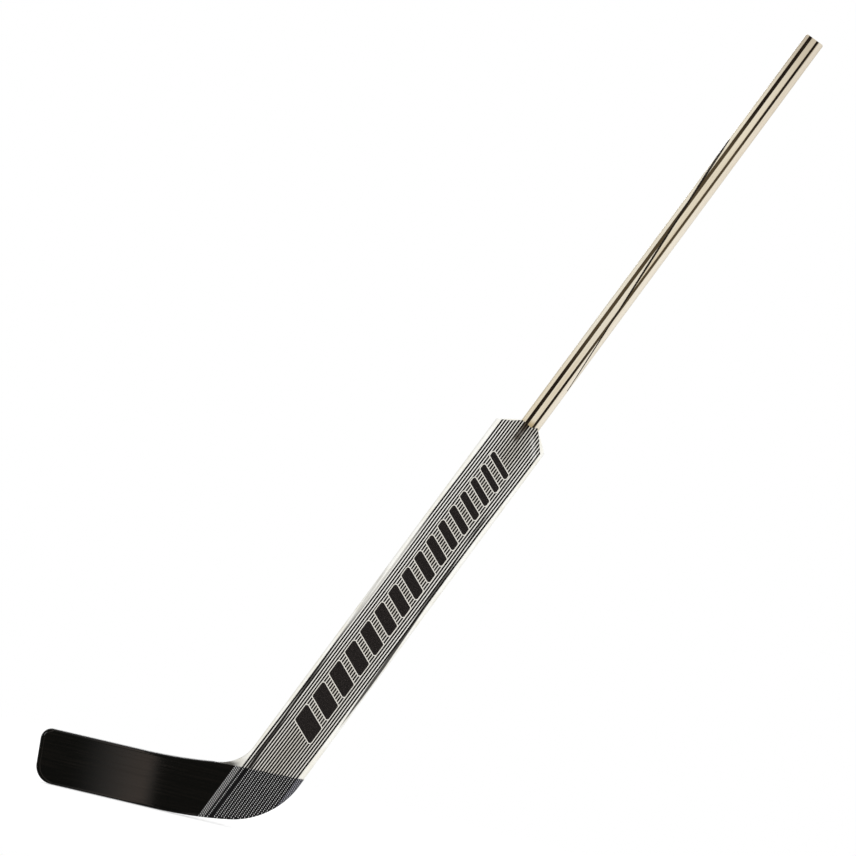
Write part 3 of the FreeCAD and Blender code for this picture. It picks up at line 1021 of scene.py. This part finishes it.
def add_piece(
    name: str, shell: bmesh.types.BMesh, finishes: Sequence[bpy.types.Material],
    node: str = "", smooth: bool = True,
) -> bpy.types.Object:
    """Make a mesh a piece that rides on the stick.

    Args:
        name: Name of the piece.
        shell: Its mesh, which is used up.
        finishes: Its materials.
        node: The node that it stands for, if any.
        smooth: Whether faces shade into each other.

    Returns:
        The new object.
    """
    mesh = bpy.data.meshes.new(name)
    shell.to_mesh(mesh)
    shell.free()
    for finish in finishes:
        mesh.materials.append(finish)
    mesh.polygons.foreach_set("use_smooth", [smooth] * len(mesh.polygons))
    piece = link(name, mesh)
    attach(piece, BODY)
    if node:
        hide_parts(node)
    return piece


def link(name: str, data: bpy.types.ID) -> bpy.types.Object:
    """Put an object with this data into the scene.

    Args:
        name: Name of the object.
        data: Its mesh, lamp or camera.

    Returns:
        The new object.
    """
    made = bpy.data.objects.new(name, data)
    bpy.context.scene.collection.objects.link(made)
    return made


def paint_node(node: str, finish: Finish) -> bpy.types.Object:
    """Put a finish on every slot of a carried-over node.

    Args:
        node: Name of the node.
        finish: Its finish.

    Returns:
        The node's object.
    """
    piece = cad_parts[node]
    material = finish.material(node)
    if not piece.material_slots:
        piece.data.materials.append(material)
    for slot in piece.material_slots:
        slot.material = material
    return piece


def wrap_grid(columns: int, rows: int) -> list[tuple[int, int, int, int]]:
    """Close a sheet whose outer and inner grids share one numbering.

    Args:
        columns: Corners across.
        rows: Corners along.

    Returns:
        Faces of the outer grid, then of the inner one, then of the rim.
    """
    def corner(layer: int, column: int, row: int) -> int:
        """Number of a corner."""
        return (layer * columns + column) * rows + row

    outer, inner = [], []
    for column in range(columns - 1):
        for row in range(rows - 1):
            loop = [(column, row), (column + 1, row), (column + 1, row + 1), (column, row + 1)]
            outer.append(tuple(corner(0, *spot) for spot in loop))
            inner.append(tuple(corner(1, *spot) for spot in reversed(loop)))
    ring = [(column, 0) for column in range(columns)]
    ring += [(columns - 1, row) for row in range(1, rows)]
    ring += [(column, rows - 1) for column in range(columns - 2, -1, -1)]
    ring += [(0, row) for row in range(rows - 2, 0, -1)]
    rim = []
    for spot, after in zip(ring, ring[1:] + ring[:1]):
        rim.append((corner(0, *spot), corner(1, *spot), corner(1, *after), corner(0, *after)))
    return outer + inner + rim


def follow(table: Sequence[Span], place: float, smooth: bool = False) -> float:
    """Read a table between its entries.

    Args:
        table: Places in order, with their values.
        place: The place to read at.
        smooth: Whether the value comes to rest at each entry.

    Returns:
        The value there.
    """
    for (low, start), (high, end) in zip(table, table[1:]):
        if place <= high:
            share = max(0.0, (place - low) / (high - low))
            if smooth:
                share = share ** 2 * (3 - 2 * share)
            return start + (end - start) * share
    return table[-1][1]


# Sub-assemblies

@dataclass
class Handle:
    """Laminated handle: five plies and the slanting line on the front of the shaft.

    Attributes:
        half_depth: Half its depth.
        corner: Radius of its long corners.
        line_girths: Way round the section from the middle of the front to both ends of the line.
        line_widths: Shares of the line's length from its high end, with its widths there.
        line_lift: Thickness of the line's film.
        line_columns: Corners across the line.
        line_steps: Segments along it.
    """

    half_depth: float = 0.010
    corner: float = 0.004
    line_girths: Span = (-0.0156, 0.0142)
    line_widths: tuple[Span, ...] = (
        (0.0, 0.0034), (0.05, 0.004), (0.2, 0.0028), (0.5, 0.003), (0.72, 0.002), (1.0, 0.001),
    )
    line_lift: float = 0.00006
    line_columns: int = 6
    line_steps: int = 96

    def build(self) -> list[bpy.types.Object]:
        """Give each ply its wood and add the slanting line.

        Returns:
            The plies and the line.
        """
        plies = {
            "handle_lead_ply": PlyWood(srgb(232, 223, 202), srgb(212, 198, 171), 3.0, worn=0.95),
            "handle_lead_stripe": PlyWood(srgb(230, 220, 198), srgb(207, 192, 164), 11.0),
            "handle_centre_ply": PlyWood(srgb(230, 220, 198), srgb(207, 192, 164), 71.0),
            "handle_trail_stripe": PlyWood(srgb(233, 224, 205), srgb(214, 200, 176), 57.0),
            "handle_trail_ply": PlyWood(srgb(238, 230, 214), srgb(222, 209, 188), 140.0, worn=0.3),
        }
        return [paint_node(node, wood) for node, wood in plies.items()] + [self.slanting_line()]

    def on_skin(self, girth: float, along: float, lift: float) -> Vector:
        """Find a point on the shaft by its way round the section from the middle of the front.

        Args:
            girth: Distance round the section, over the long corners.
            along: Distance up the handle.
            lift: Height above the surface.

        Returns:
            The point.
        """
        flat = HALF_WIDTH - self.corner
        turn = min(max(0.0, abs(girth) - flat) / self.corner, math.pi / 2)
        radius = self.corner + lift
        aside = min(abs(girth), flat) + radius * math.sin(turn)
        depth = self.half_depth - self.corner + radius * math.cos(turn)
        return HANDLE.point(math.copysign(aside, girth), along, -depth)

    def slanting_line(self) -> bpy.types.Object:
        """Build the thin dark line that crosses the front of the shaft.

        Returns:
            The line's object.
        """
        layers: list[list[Vector]] = [[], []]
        for column in range(self.line_columns):
            offset = column / (self.line_columns - 1) - 0.5
            for step in range(self.line_steps + 1):
                share = step / self.line_steps
                girth = self.line_girths[0] + (self.line_girths[1] - self.line_girths[0]) * share
                girth += offset * follow(self.line_widths, share)
                along = (FILM_AND_SHEEN.high + (FILM_AND_SHEEN.low - FILM_AND_SHEEN.high) * share) / MM
                layers[0].append(self.on_skin(girth, along, self.line_lift))
                layers[1].append(self.on_skin(girth, along, -self.line_lift))
        ink = Ink(srgb(27, 20, 12), srgb(62, 51, 36)).material("line_ink")
        shell = shell_of(layers[0] + layers[1], wrap_grid(self.line_columns, self.line_steps + 1))
        return add_piece("shaft_slanting_line", shell, [ink])


@dataclass
class PaddleCore:
    """Foam wings of the paddle, with their bare rounded edges.

    Attributes:
        nodes: Names of the wings.
    """

    nodes: tuple[str, ...] = ("paddle_lead_core", "paddle_trail_core")

    def build(self) -> list[bpy.types.Object]:
        """Give the wings their foam."""
        return [paint_node(node, Foam()) for node in self.nodes]


@dataclass
class PaddleCloth:
    """Striped cloth on both faces of the paddle, with every stripe as its own band of yarn.

    Attributes:
        trail: Edge of the cloth's sheet on the trail side, which its lower corner rounds.
        paddle_lead: Reach of the paddle's lead edge.
        shoulder_drop: Fall of the lead shoulder from the handle to the paddle's edge.
        rise_start: Where the top edge starts to rise to the trail shoulder.
        rise: How much it rises for each unit aside.
        trail_corner: A point of the trail shoulder, as aside and along.
        trail_fall: Fall of that shoulder for each unit aside.
        inner: Depth of the foam that the cloth lies on.
        thickness: Thickness of the cloth.
        swell: How much of it the yarns' rounding takes up.
        edge_height: Share of the thickness at the sheet's long edges.
        edge_share: Share of the outermost stripes over which it comes up to the full thickness.
        end_height: Share of the height at the ends of the stripes.
        rocker_centre: Middle of the arc of its lower edge, in the side view.
        rocker_radius: Radius of that arc.
        heel_radius: Radius of its trailing corner.
        rows: Corners along each stripe.
        yarn_shares: Shares of a stripe's width at which it has corners.
        ragged: How far the ends of the stripes differ.
        scatter: Turns between the ends of neighbouring stripes and between those of the two faces.
        sway: Heights along the handle, with how far the stripes lie off their straight lines there.
    """

    trail: float = 0.0365
    paddle_lead: float = 0.0465
    shoulder_drop: float = 0.022
    rise_start: float = 0.002
    rise: float = 0.5
    trail_corner: Span = (0.0157, 0.7375)
    trail_fall: float = 1.067
    inner: float = 0.010
    thickness: float = 0.0008
    swell: float = 0.00012
    edge_height: float = 0.3
    edge_share: float = 0.1
    end_height: float = 0.35
    rocker_centre: Span = (0.008, 0.6506)
    rocker_radius: float = 0.6445
    heel_radius: float = 0.1145
    rows: int = 26
    yarn_shares: tuple[float, ...] = (0.0, 0.25, 0.5, 0.75)
    ragged: float = 0.0007
    scatter: Span = (12.9898, 4.1)
    sway: tuple[Span, ...] = (
        (0.0, 0.0), (0.09, 0.0001), (0.19, 0.0008), (0.33, 0.00026),
        (0.405, 0.00036), (0.555, -0.0005), (0.69, 0.00055), (0.76, 0.00045),
    )

    def top(self, aside: float) -> float:
        """Find the upper edge.

        Args:
            aside: Distance from the handle's axis.

        Returns:
            Its height along the handle.
        """
        if aside < 0:
            past = max(0.0, -aside - HALF_WIDTH)
            return NECK - self.shoulder_drop * past / (self.paddle_lead - HALF_WIDTH)
        shoulder = self.trail_corner[1] - self.trail_fall * (aside - self.trail_corner[0])
        return min(NECK + self.rise * max(0.0, aside - self.rise_start), shoulder)

    def on_arc(self, aside: float, middle: Span, radius: float) -> float:
        """Find where a line along the handle meets a circle of the side view.

        Args:
            aside: Distance of the line from the handle's axis.
            middle: Middle of the circle.
            radius: Its radius.

        Returns:
            The lower height along the handle.
        """
        foot = HANDLE.point(aside, 0.0)
        away = (foot.x - middle[0], foot.z - middle[1])
        half = away[0] * HANDLE.cosine + away[1] * HANDLE.sine
        return -half - math.sqrt(max(0.0, half ** 2 - away[0] ** 2 - away[1] ** 2 + radius ** 2))

    def bottom(self, aside: float) -> float:
        """Find the lower edge, round the heel.

        Args:
            aside: Distance from the handle's axis.

        Returns:
            Its height along the handle.
        """
        turn_aside = self.trail - self.heel_radius
        turn_along = self.on_arc(turn_aside, self.rocker_centre, self.rocker_radius - self.heel_radius)
        turn = HANDLE.point(turn_aside, turn_along)
        share = self.rocker_radius / (self.rocker_radius - self.heel_radius)
        touch_x = self.rocker_centre[0] + (turn.x - self.rocker_centre[0]) * share
        touch_z = self.rocker_centre[1] + (turn.z - self.rocker_centre[1]) * share
        touch = (touch_x - HANDLE.heel_reach) * HANDLE.sine - touch_z * HANDLE.cosine
        if aside > touch:
            return turn_along - math.sqrt(max(0.0, self.heel_radius ** 2 - (aside - turn_aside) ** 2))
        return self.on_arc(aside, self.rocker_centre, self.rocker_radius)

    def columns(self) -> list[tuple[float, float, int]]:
        """Find the places across the cloth.

        Returns:
            Where each would meet the ice, its height above the foam and its stripe.
        """
        edges = STRIPES.edges()
        places = [(edges[0], self.edge_height * self.thickness, 0)]
        for band, (start, end) in enumerate(zip(edges, edges[1:])):
            for share in self.yarn_shares:
                if band == 0 and share == 0.0:
                    share = self.edge_share
                dip = self.swell * (2 * share - 1) ** 2
                places.append((start + (end - start) * share, self.thickness - dip, band))
        places.append((end - self.edge_share * (end - start), self.thickness - self.swell, band))
        places.append((end, self.edge_height * self.thickness, band))
        return places

    def sheet(self, face: Face) -> bpy.types.Object:
        """Build the cloth on one face.

        Args:
            face: The face of the paddle.

        Returns:
            The cloth's object.
        """
        side, side_name = face.value, face.name.lower()
        places = self.columns()
        layers: list[list[Vector]] = [[], []]
        for foot, height, band in places:
            ends = self.ragged * math.sin(band * self.scatter[0] + self.scatter[1] * side)
            low, high = self.bottom(foot), self.top(foot + STRIPES.lean * NECK) + ends
            for row in range(self.rows):
                along = low + (high - low) * row / (self.rows - 1)
                aside = foot + STRIPES.lean * along + follow(self.sway, along, smooth=True)
                rim = self.end_height if row in (0, self.rows - 1) else 1.0
                layers[0].append(HANDLE.point(aside, along, side * (self.inner + height * rim)))
                layers[1].append(HANDLE.point(aside, along, side * self.inner))
        faces = wrap_grid(len(places), self.rows)
        per_layer = (len(places) - 1) * (self.rows - 1)
        marks = []
        for number in range(len(faces)):
            column = number % per_layer // (self.rows - 1) if number < 2 * per_layer else 0
            marks.append(places[column][2] % 2)
        name = f"paddle_cloth_{side_name}"
        yarns = {
            "dark": Cloth(
                yarn=srgb(14, 12, 11), gap=srgb(30, 27, 24), edge=srgb(16, 14, 13),
                darkened=srgb(14, 12, 11), stained=srgb(26, 19, 13),
            ),
            "pale": Cloth(
                yarn=srgb(213, 209, 199), gap=srgb(184, 179, 168), edge=srgb(254, 253, 248),
                darkened=srgb(32, 28, 25), stained=srgb(72, 60, 46),
            ),
        }
        finishes = [cloth.material(f"{name}_{tone}_yarn") for tone, cloth in yarns.items()]
        shell = shell_of(layers[0] + layers[1], faces, marks)
        return add_piece(name, shell, finishes, f"paddle_{side_name}_skin")

    def build(self) -> list[bpy.types.Object]:
        """Build the cloth on both faces."""
        return [self.sheet(face) for face in Face]


@dataclass
class PaddlePrint:
    """Row of slanting bars printed on the front cloth, each shorter than the one below it.

    Attributes:
        lead: Edge of the bars on the lead side.
        trail: Edge on the trail side.
        start: Height of the lowest bar's lower corner along the handle.
        first: Length of the lowest bar.
        shrink: Length of a bar as a share of the one below it.
        gap: Distance between bars.
        count: How many bars there are.
        slant: Rise of a bar from its trail to its lead edge.
        radius: Radius of the corners.
        keyline: Width of the pale line round each bar.
        base: Depth of the cloth that the print lies on.
        film: Thickness of one coat of print.
        corner_steps: Segments of each corner.
    """

    lead: float = -0.0215
    trail: float = 0.0185
    start: float = 0.166
    first: float = 0.030
    shrink: float = 0.93
    gap: float = 0.0134
    count: int = 16
    slant: float = 0.017
    radius: float = 0.003
    keyline: float = 0.0014
    base: float = 0.01074
    film: float = 0.00009
    corner_steps: int = 6

    def outline(self, low: float, length: float, grow: float) -> list[Span]:
        """Outline one bar with rounded corners.

        Args:
            low: Height of the bar's lower trailing corner.
            length: Length of the bar along the handle.
            grow: How far the outline lies outside the bar.

        Returns:
            Its points in order, as aside and along.
        """
        rise = self.slant / (self.trail - self.lead)
        stretch = grow * math.hypot(1.0, rise)
        foot, head = low - stretch, low + length + stretch
        left, right = self.lead - grow, self.trail + grow
        corners = []
        for aside, along in ((right, foot), (right, head), (left, head), (left, foot)):
            corners.append(Vector((aside, along + (self.trail - aside) * rise)))
        points = []
        for number, corner in enumerate(corners):
            after = corners[(number + 1) % len(corners)]
            points += self.rounded(corner, corners[number - 1], after, self.radius + grow)
        return points

    def rounded(self, corner: Vector, before: Vector, after: Vector, radius: float) -> list[Span]:
        """Round one corner.

        Args:
            corner: The corner.
            before: The corner before it.
            after: The corner after it.
            radius: Radius of the arc.

        Returns:
            Points of the arc.
        """
        into, out = (before - corner).normalized(), (after - corner).normalized()
        half = into.angle(out) / 2
        middle = corner + (into + out).normalized() * (radius / math.sin(half))
        first = corner + into * (radius / math.tan(half)) - middle
        last = corner + out * (radius / math.tan(half)) - middle
        spokes = [first.lerp(last, step / self.corner_steps) for step in range(self.corner_steps + 1)]
        return [tuple(middle + spoke.normalized() * radius) for spoke in spokes]

    def coat(self, name: str, finish: Ink, grow: float, films: int) -> bpy.types.Object:
        """Build all the bars of one coat as flat plates.

        Args:
            name: Name of the piece.
            finish: Its print.
            grow: How far it lies outside the bars.
            films: How many films thick it is.

        Returns:
            The coat's object.
        """
        points: list[Vector] = []
        faces: list[tuple[int, ...]] = []
        foot, length = self.start, self.first
        for _ in range(self.count):
            outline = self.outline(foot, length, grow)
            count = len(outline)
            under = [len(points) + number for number in range(count)]
            over = [corner + count for corner in under]
            for depth in (self.base, self.base + films * self.film):
                points += [HANDLE.point(aside, along, -depth) for aside, along in outline]
            faces += [tuple(reversed(under)), tuple(over)]
            for number in range(count):
                after = (number + 1) % count
                faces.append((under[number], under[after], over[after], over[number]))
            foot += length + self.gap
            length *= self.shrink
        shell = shell_of(points, faces)
        return add_piece(name, shell, [finish.material(name)], smooth=False)

    def build(self) -> list[bpy.types.Object]:
        """Build the keylines and, a film higher, the bars.

        Returns:
            The two coats.
        """
        pale = Ink(srgb(226, 223, 214), srgb(196, 190, 178))
        dark = Ink(srgb(23, 20, 19), srgb(78, 71, 68))
        keyline = self.coat("paddle_print_keyline", pale, grow=self.keyline, films=1)
        return [keyline, self.coat("paddle_print_bars", dark, grow=0.0, films=2)]


@dataclass
class Blade:
    """Blade and heel: foam core, hidden tongue and plies, and the sleeve in a painted and a bare half.

    Attributes:
        paint_end: Where the paint ends, as a distance aside from the handle's axis.
        covered: Number of the stripe that the wide dark band covers.
        weld: Distance within which corners of the sleeve's faces are the same.
        crease: Angle between faces, in degrees, over which an edge is sharp.
    """

    paint_end: float = -0.0521
    covered: int = 3
    weld: float = 0.000002
    crease: float = 40.0

    def build(self) -> list[bpy.types.Object]:
        """Give the solids their finishes and build both halves of the sleeve.

        Returns:
            The solids and the halves.
        """
        ink = Ink(srgb(18, 17, 16), srgb(40, 38, 36))
        solids = {
            "blade_core": Foam(), "heel_tongue": HardWood(), "blade_front_ply": ink, "blade_back_ply": ink,
        }
        dressed = [paint_node(node, finish) for node, finish in solids.items()]
        paint = Paint().material("blade_paint")
        painted = self.sleeve("blade_painted_sleeve", self.half_sleeve(Half.BLADE), [paint])
        return dressed + [painted, self.bare_sleeve()]

    def cut(
        self, shell: bmesh.types.BMesh, aside: float, lean: float = 0.0, keep: Half | None = None,
    ) -> list[bmesh.types.BMEdge]:
        """Cut a mesh along a line up the handle.

        Args:
            shell: The mesh.
            aside: Distance of the line from the handle's axis, where it would meet the ice.
            lean: Its shift to the trailing side for each unit along the handle.
            keep: The half to keep, or both where it is None.

        Returns:
            The edges of the cut.
        """
        done = bmesh.ops.bisect_plane(
            shell,
            geom=shell.verts[:] + shell.edges[:] + shell.faces[:],
            dist=self.weld,
            plane_co=HANDLE.point(aside, 0.0),
            plane_no=HANDLE.across - HANDLE.up * lean,
            clear_outer=keep is Half.BLADE,
            clear_inner=keep is Half.HEEL,
        )
        return [item for item in done["geom_cut"] if isinstance(item, bmesh.types.BMEdge)]

    def half_sleeve(self, half: Half) -> bmesh.types.BMesh:
        """Copy one half of the sleeve and close its cut.

        Args:
            half: Which half.

        Returns:
            The closed mesh.
        """
        shell = bmesh.new()
        shell.from_mesh(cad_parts["blade_sleeve"].data)
        bmesh.ops.remove_doubles(shell, verts=shell.verts[:], dist=self.weld)
        bmesh.ops.triangle_fill(shell, use_beauty=True, edges=self.cut(shell, self.paint_end, keep=half))
        bmesh.ops.recalc_face_normals(shell, faces=shell.faces[:])
        return shell

    def region(self, place: Vector) -> Region:
        """Tell what shows at a place of the bare sleeve.

        Args:
            place: The place.

        Returns:
            What shows there.
        """
        away = place - HANDLE.point(0.0, 0.0)
        foot = away.dot(HANDLE.across) - away.dot(HANDLE.up) * STRIPES.lean
        edges = STRIPES.edges()
        if foot < edges[0]:
            return Region.WEAVE
        if foot > edges[-1]:
            return Region.RIM
        band = bisect.bisect(edges, foot) - 1
        return Region.PALE if band % 2 and band != self.covered else Region.DARK

    def sleeve(
        self, name: str, shell: bmesh.types.BMesh, finishes: Sequence[bpy.types.Material],
    ) -> bpy.types.Object:
        """Make a half of the sleeve a piece with even shading.

        Args:
            name: Name of the piece.
            shell: Its mesh, which is used up.
            finishes: Its materials.

        Returns:
            The new object.
        """
        piece = add_piece(name, shell, finishes, "blade_sleeve")
        piece.data.set_sharp_from_angle(angle=math.radians(self.crease))
        evened = piece.modifiers.new("even_shading", "WEIGHTED_NORMAL")
        evened.keep_sharp = True
        return piece

    def bare_sleeve(self) -> bpy.types.Object:
        """Build the half of the sleeve at the heel, cut along every stripe that shows through it.

        Returns:
            The new object.
        """
        shell = self.half_sleeve(Half.HEEL)
        for edge in STRIPES.edges():
            self.cut(shell, edge, STRIPES.lean)
        for face in shell.faces:
            face.material_index = self.region(face.calc_center_median()).value
        finishes = {
            Region.WEAVE: Weave(srgb(192, 192, 190)),
            Region.DARK: Net(srgb(34, 34, 36), srgb(10, 10, 11)),
            Region.PALE: Net(srgb(242, 242, 241), srgb(11, 11, 12)),
            # Painted shade: round the heel's rounded trailing edge the weave is a darker, bluer grey than at
            # the paint's end
            Region.RIM: Weave(srgb(170, 170, 180)),
        }
        materials = [finishes[region].material(f"sleeve_{region.name.lower()}") for region in Region]
        return self.sleeve("heel_bare_sleeve", shell, materials)


# Studio

@dataclass
class Lamp:
    """A soft rectangular lamp that points at the stick.

    Attributes:
        name: Name of the lamp.
        place: Where it stands.
        target: What it points at.
        size: Its width and height.
        power: Its power in watts.
    """

    name: str
    place: Point
    target: Point
    size: Span
    power: float

    def build(self) -> None:
        """Add the lamp."""
        data = bpy.data.lights.new(self.name, "AREA")
        data.shape = "RECTANGLE"
        data.size, data.size_y = self.size
        data.energy = self.power
        lamp = link(self.name, data)
        lamp.location = self.place
        way = Vector(self.target) - Vector(self.place)
        lamp.rotation_euler = way.to_track_quat("-Z", "Y").to_euler()


@dataclass
class Studio:
    """Pale floor, white surround, soft lamps and the camera.

    Attributes:
        ambient: Light of the surround on the stick.
        dark_room: What shiny faces mirror from the camera's side of the room.
        light_room: What they mirror from behind the stick.
        room_turn: Sines of the ways ahead between which the one becomes the other.
        strip_rise: Sines of the ways aside between which the upright light that they mirror there sets in.
        strip_fall: Sines between which it fades again.
        strip_depth: Sines of the ways ahead between which it ends.
        strip_spans: Sines of the ways up between which it stands, each with how soft its ends are.
        strip_colour: Its colour.
        strip_light: Its brightness.
        floor_radius: Radius of the floor.
        floor_fade: Distances from its middle between which it fades out.
        floor_drop: How far it lies below the ice.
        floor_sides: Sides of the floor's disc.
        lens: Focal length in millimetres.
        sensor: Width of the sensor in millimetres.
        clip: How far the camera sees.
        frame_width: Width of the picture at the stick.
        middle: Point at the middle of the picture.
        roll: How far the stick is turned in the picture, in degrees.
        lamps: The lamps.
    """

    ambient: float = 0.6
    dark_room: float = 0.03
    light_room: float = 0.5
    room_turn: Span = (-0.1, 0.5)
    strip_rise: Span = (0.036, 0.062)
    strip_fall: Span = (0.045, 0.235)
    strip_depth: Span = (-0.3, -0.1)
    strip_spans: tuple[Point, Point] = ((-0.95, -0.015, 0.03), (0.2, 0.95, 0.1))
    strip_colour: Colour = (1.0, 0.8, 0.68)
    strip_light: float = 1.2
    floor_radius: float = 2.4
    floor_fade: Span = (0.7, 2.16)
    floor_drop: float = 0.0005
    floor_sides: int = 96
    lens: float = 400.0
    sensor: float = 36.0
    clip: float = 100.0
    frame_width: float = 0.856 * 1.48
    middle: Point = (0.2739, 0.0, 0.6419)
    roll: float = 13.466
    lamps: list[Lamp] = field(default_factory=lambda: [
        Lamp("key", (-3.2, -4.2, 2.6), (0.25, 0.0, 0.6), (2.2, 2.6), 74.0),
        Lamp("fill", (4.0, -4.0, 2.2), (0.25, 0.0, 0.6), (2.2, 2.6), 106.0),
        Lamp("back", (0.6, 4.6, 2.4), (0.25, 0.0, 0.6), (2.4, 2.6), 70.0),
        Lamp("top", (0.2, 0.6, 3.6), (0.25, 0.0, 0.4), (2.4, 1.6), 12.0),
    ])

    def surround(self) -> None:
        """Make the world white for the camera and dimmer for the light on the stick."""
        world = bpy.data.worlds.new("surround")
        world.use_nodes = True
        world.cycles.sampling_method = "NONE"
        bpy.context.scene.world = world
        graph = Graph(world.node_tree)
        path = graph.node("ShaderNodeLightPath").outputs
        gloss, camera, passed = (
            Value(graph, path[f"Is {ray} Ray"]) for ray in ("Glossy", "Camera", "Transmission")
        )
        aside, ahead, up = graph.parts(graph.node("ShaderNodeTexCoord").outputs["Generated"])
        low, high = (graph.band(up, *span) for span in self.strip_spans)
        strip = graph.ramp(aside, *self.strip_rise) * graph.ramp(aside, *self.strip_fall, 1.0, 0.0)
        strip *= (low + high) * graph.ramp(ahead, *self.strip_depth, 1.0, 0.0)
        room = graph.ramp(ahead, *self.room_turn, self.dark_room, self.light_room)
        lit = self.ambient + gloss * (room + strip * self.strip_light - self.ambient)
        strength = lit + graph.math("MAXIMUM", camera, passed) * (1.0 - lit)
        colour = graph.mix(strip * gloss, (1.0, 1.0, 1.0), self.strip_colour)
        sky = graph.node("ShaderNodeBackground", None, {"Color": colour, "Strength": strength})
        graph.node("ShaderNodeOutputWorld", None, {"Surface": sky.outputs[0]})

    def floor(self) -> None:
        """Lay the floor's disc."""
        mesh = bpy.data.meshes.new("floor")
        ring = [2 * math.pi * step / self.floor_sides for step in range(self.floor_sides)]
        radius = self.floor_radius
        points = [(radius * math.cos(turn), radius * math.sin(turn), 0.0) for turn in ring]
        mesh.from_pydata(points, [], [tuple(range(self.floor_sides))])
        mesh.materials.append(FloorPaint(self.floor_fade).material("floor"))
        disc = link("floor", mesh)
        disc.location = (self.middle[0], 0.0, -self.floor_drop)

    def camera(self) -> None:
        """Set the camera square to the front of the paddle, turned as the photograph is."""
        data = bpy.data.cameras.new("camera")
        data.lens = self.lens
        data.sensor_width = self.sensor
        data.clip_end = self.clip
        camera = link("camera", data)
        turn = math.radians(self.roll)
        right = Vector((math.cos(turn), 0.0, math.sin(turn)))
        up = Vector((-math.sin(turn), 0.0, math.cos(turn)))
        back = right.cross(up)
        pose = Matrix((right, up, back)).transposed().to_4x4()
        pose.translation = Vector(self.middle) + back * (self.frame_width * self.lens / self.sensor)
        camera.matrix_world = pose
        bpy.context.scene.camera = camera

    def build(self) -> None:
        """Set up the whole studio."""
        bpy.context.scene.view_settings.view_transform = "Standard"
        self.surround()
        self.floor()
        self.camera()
        for lamp in self.lamps:
            lamp.build()


def main() -> None:
    """Build the studio and dress the stick, piece by piece."""
    logging.basicConfig(level=logging.INFO, format="%(name)s: %(message)s")
    Studio().build()
    for assembly in (Handle(), PaddleCore(), PaddleCloth(), PaddlePrint(), Blade()):
        for piece in assembly.build():
            log.info("%s: %s", type(assembly).__name__, piece.name)


if __name__ == "__main__":
    main()
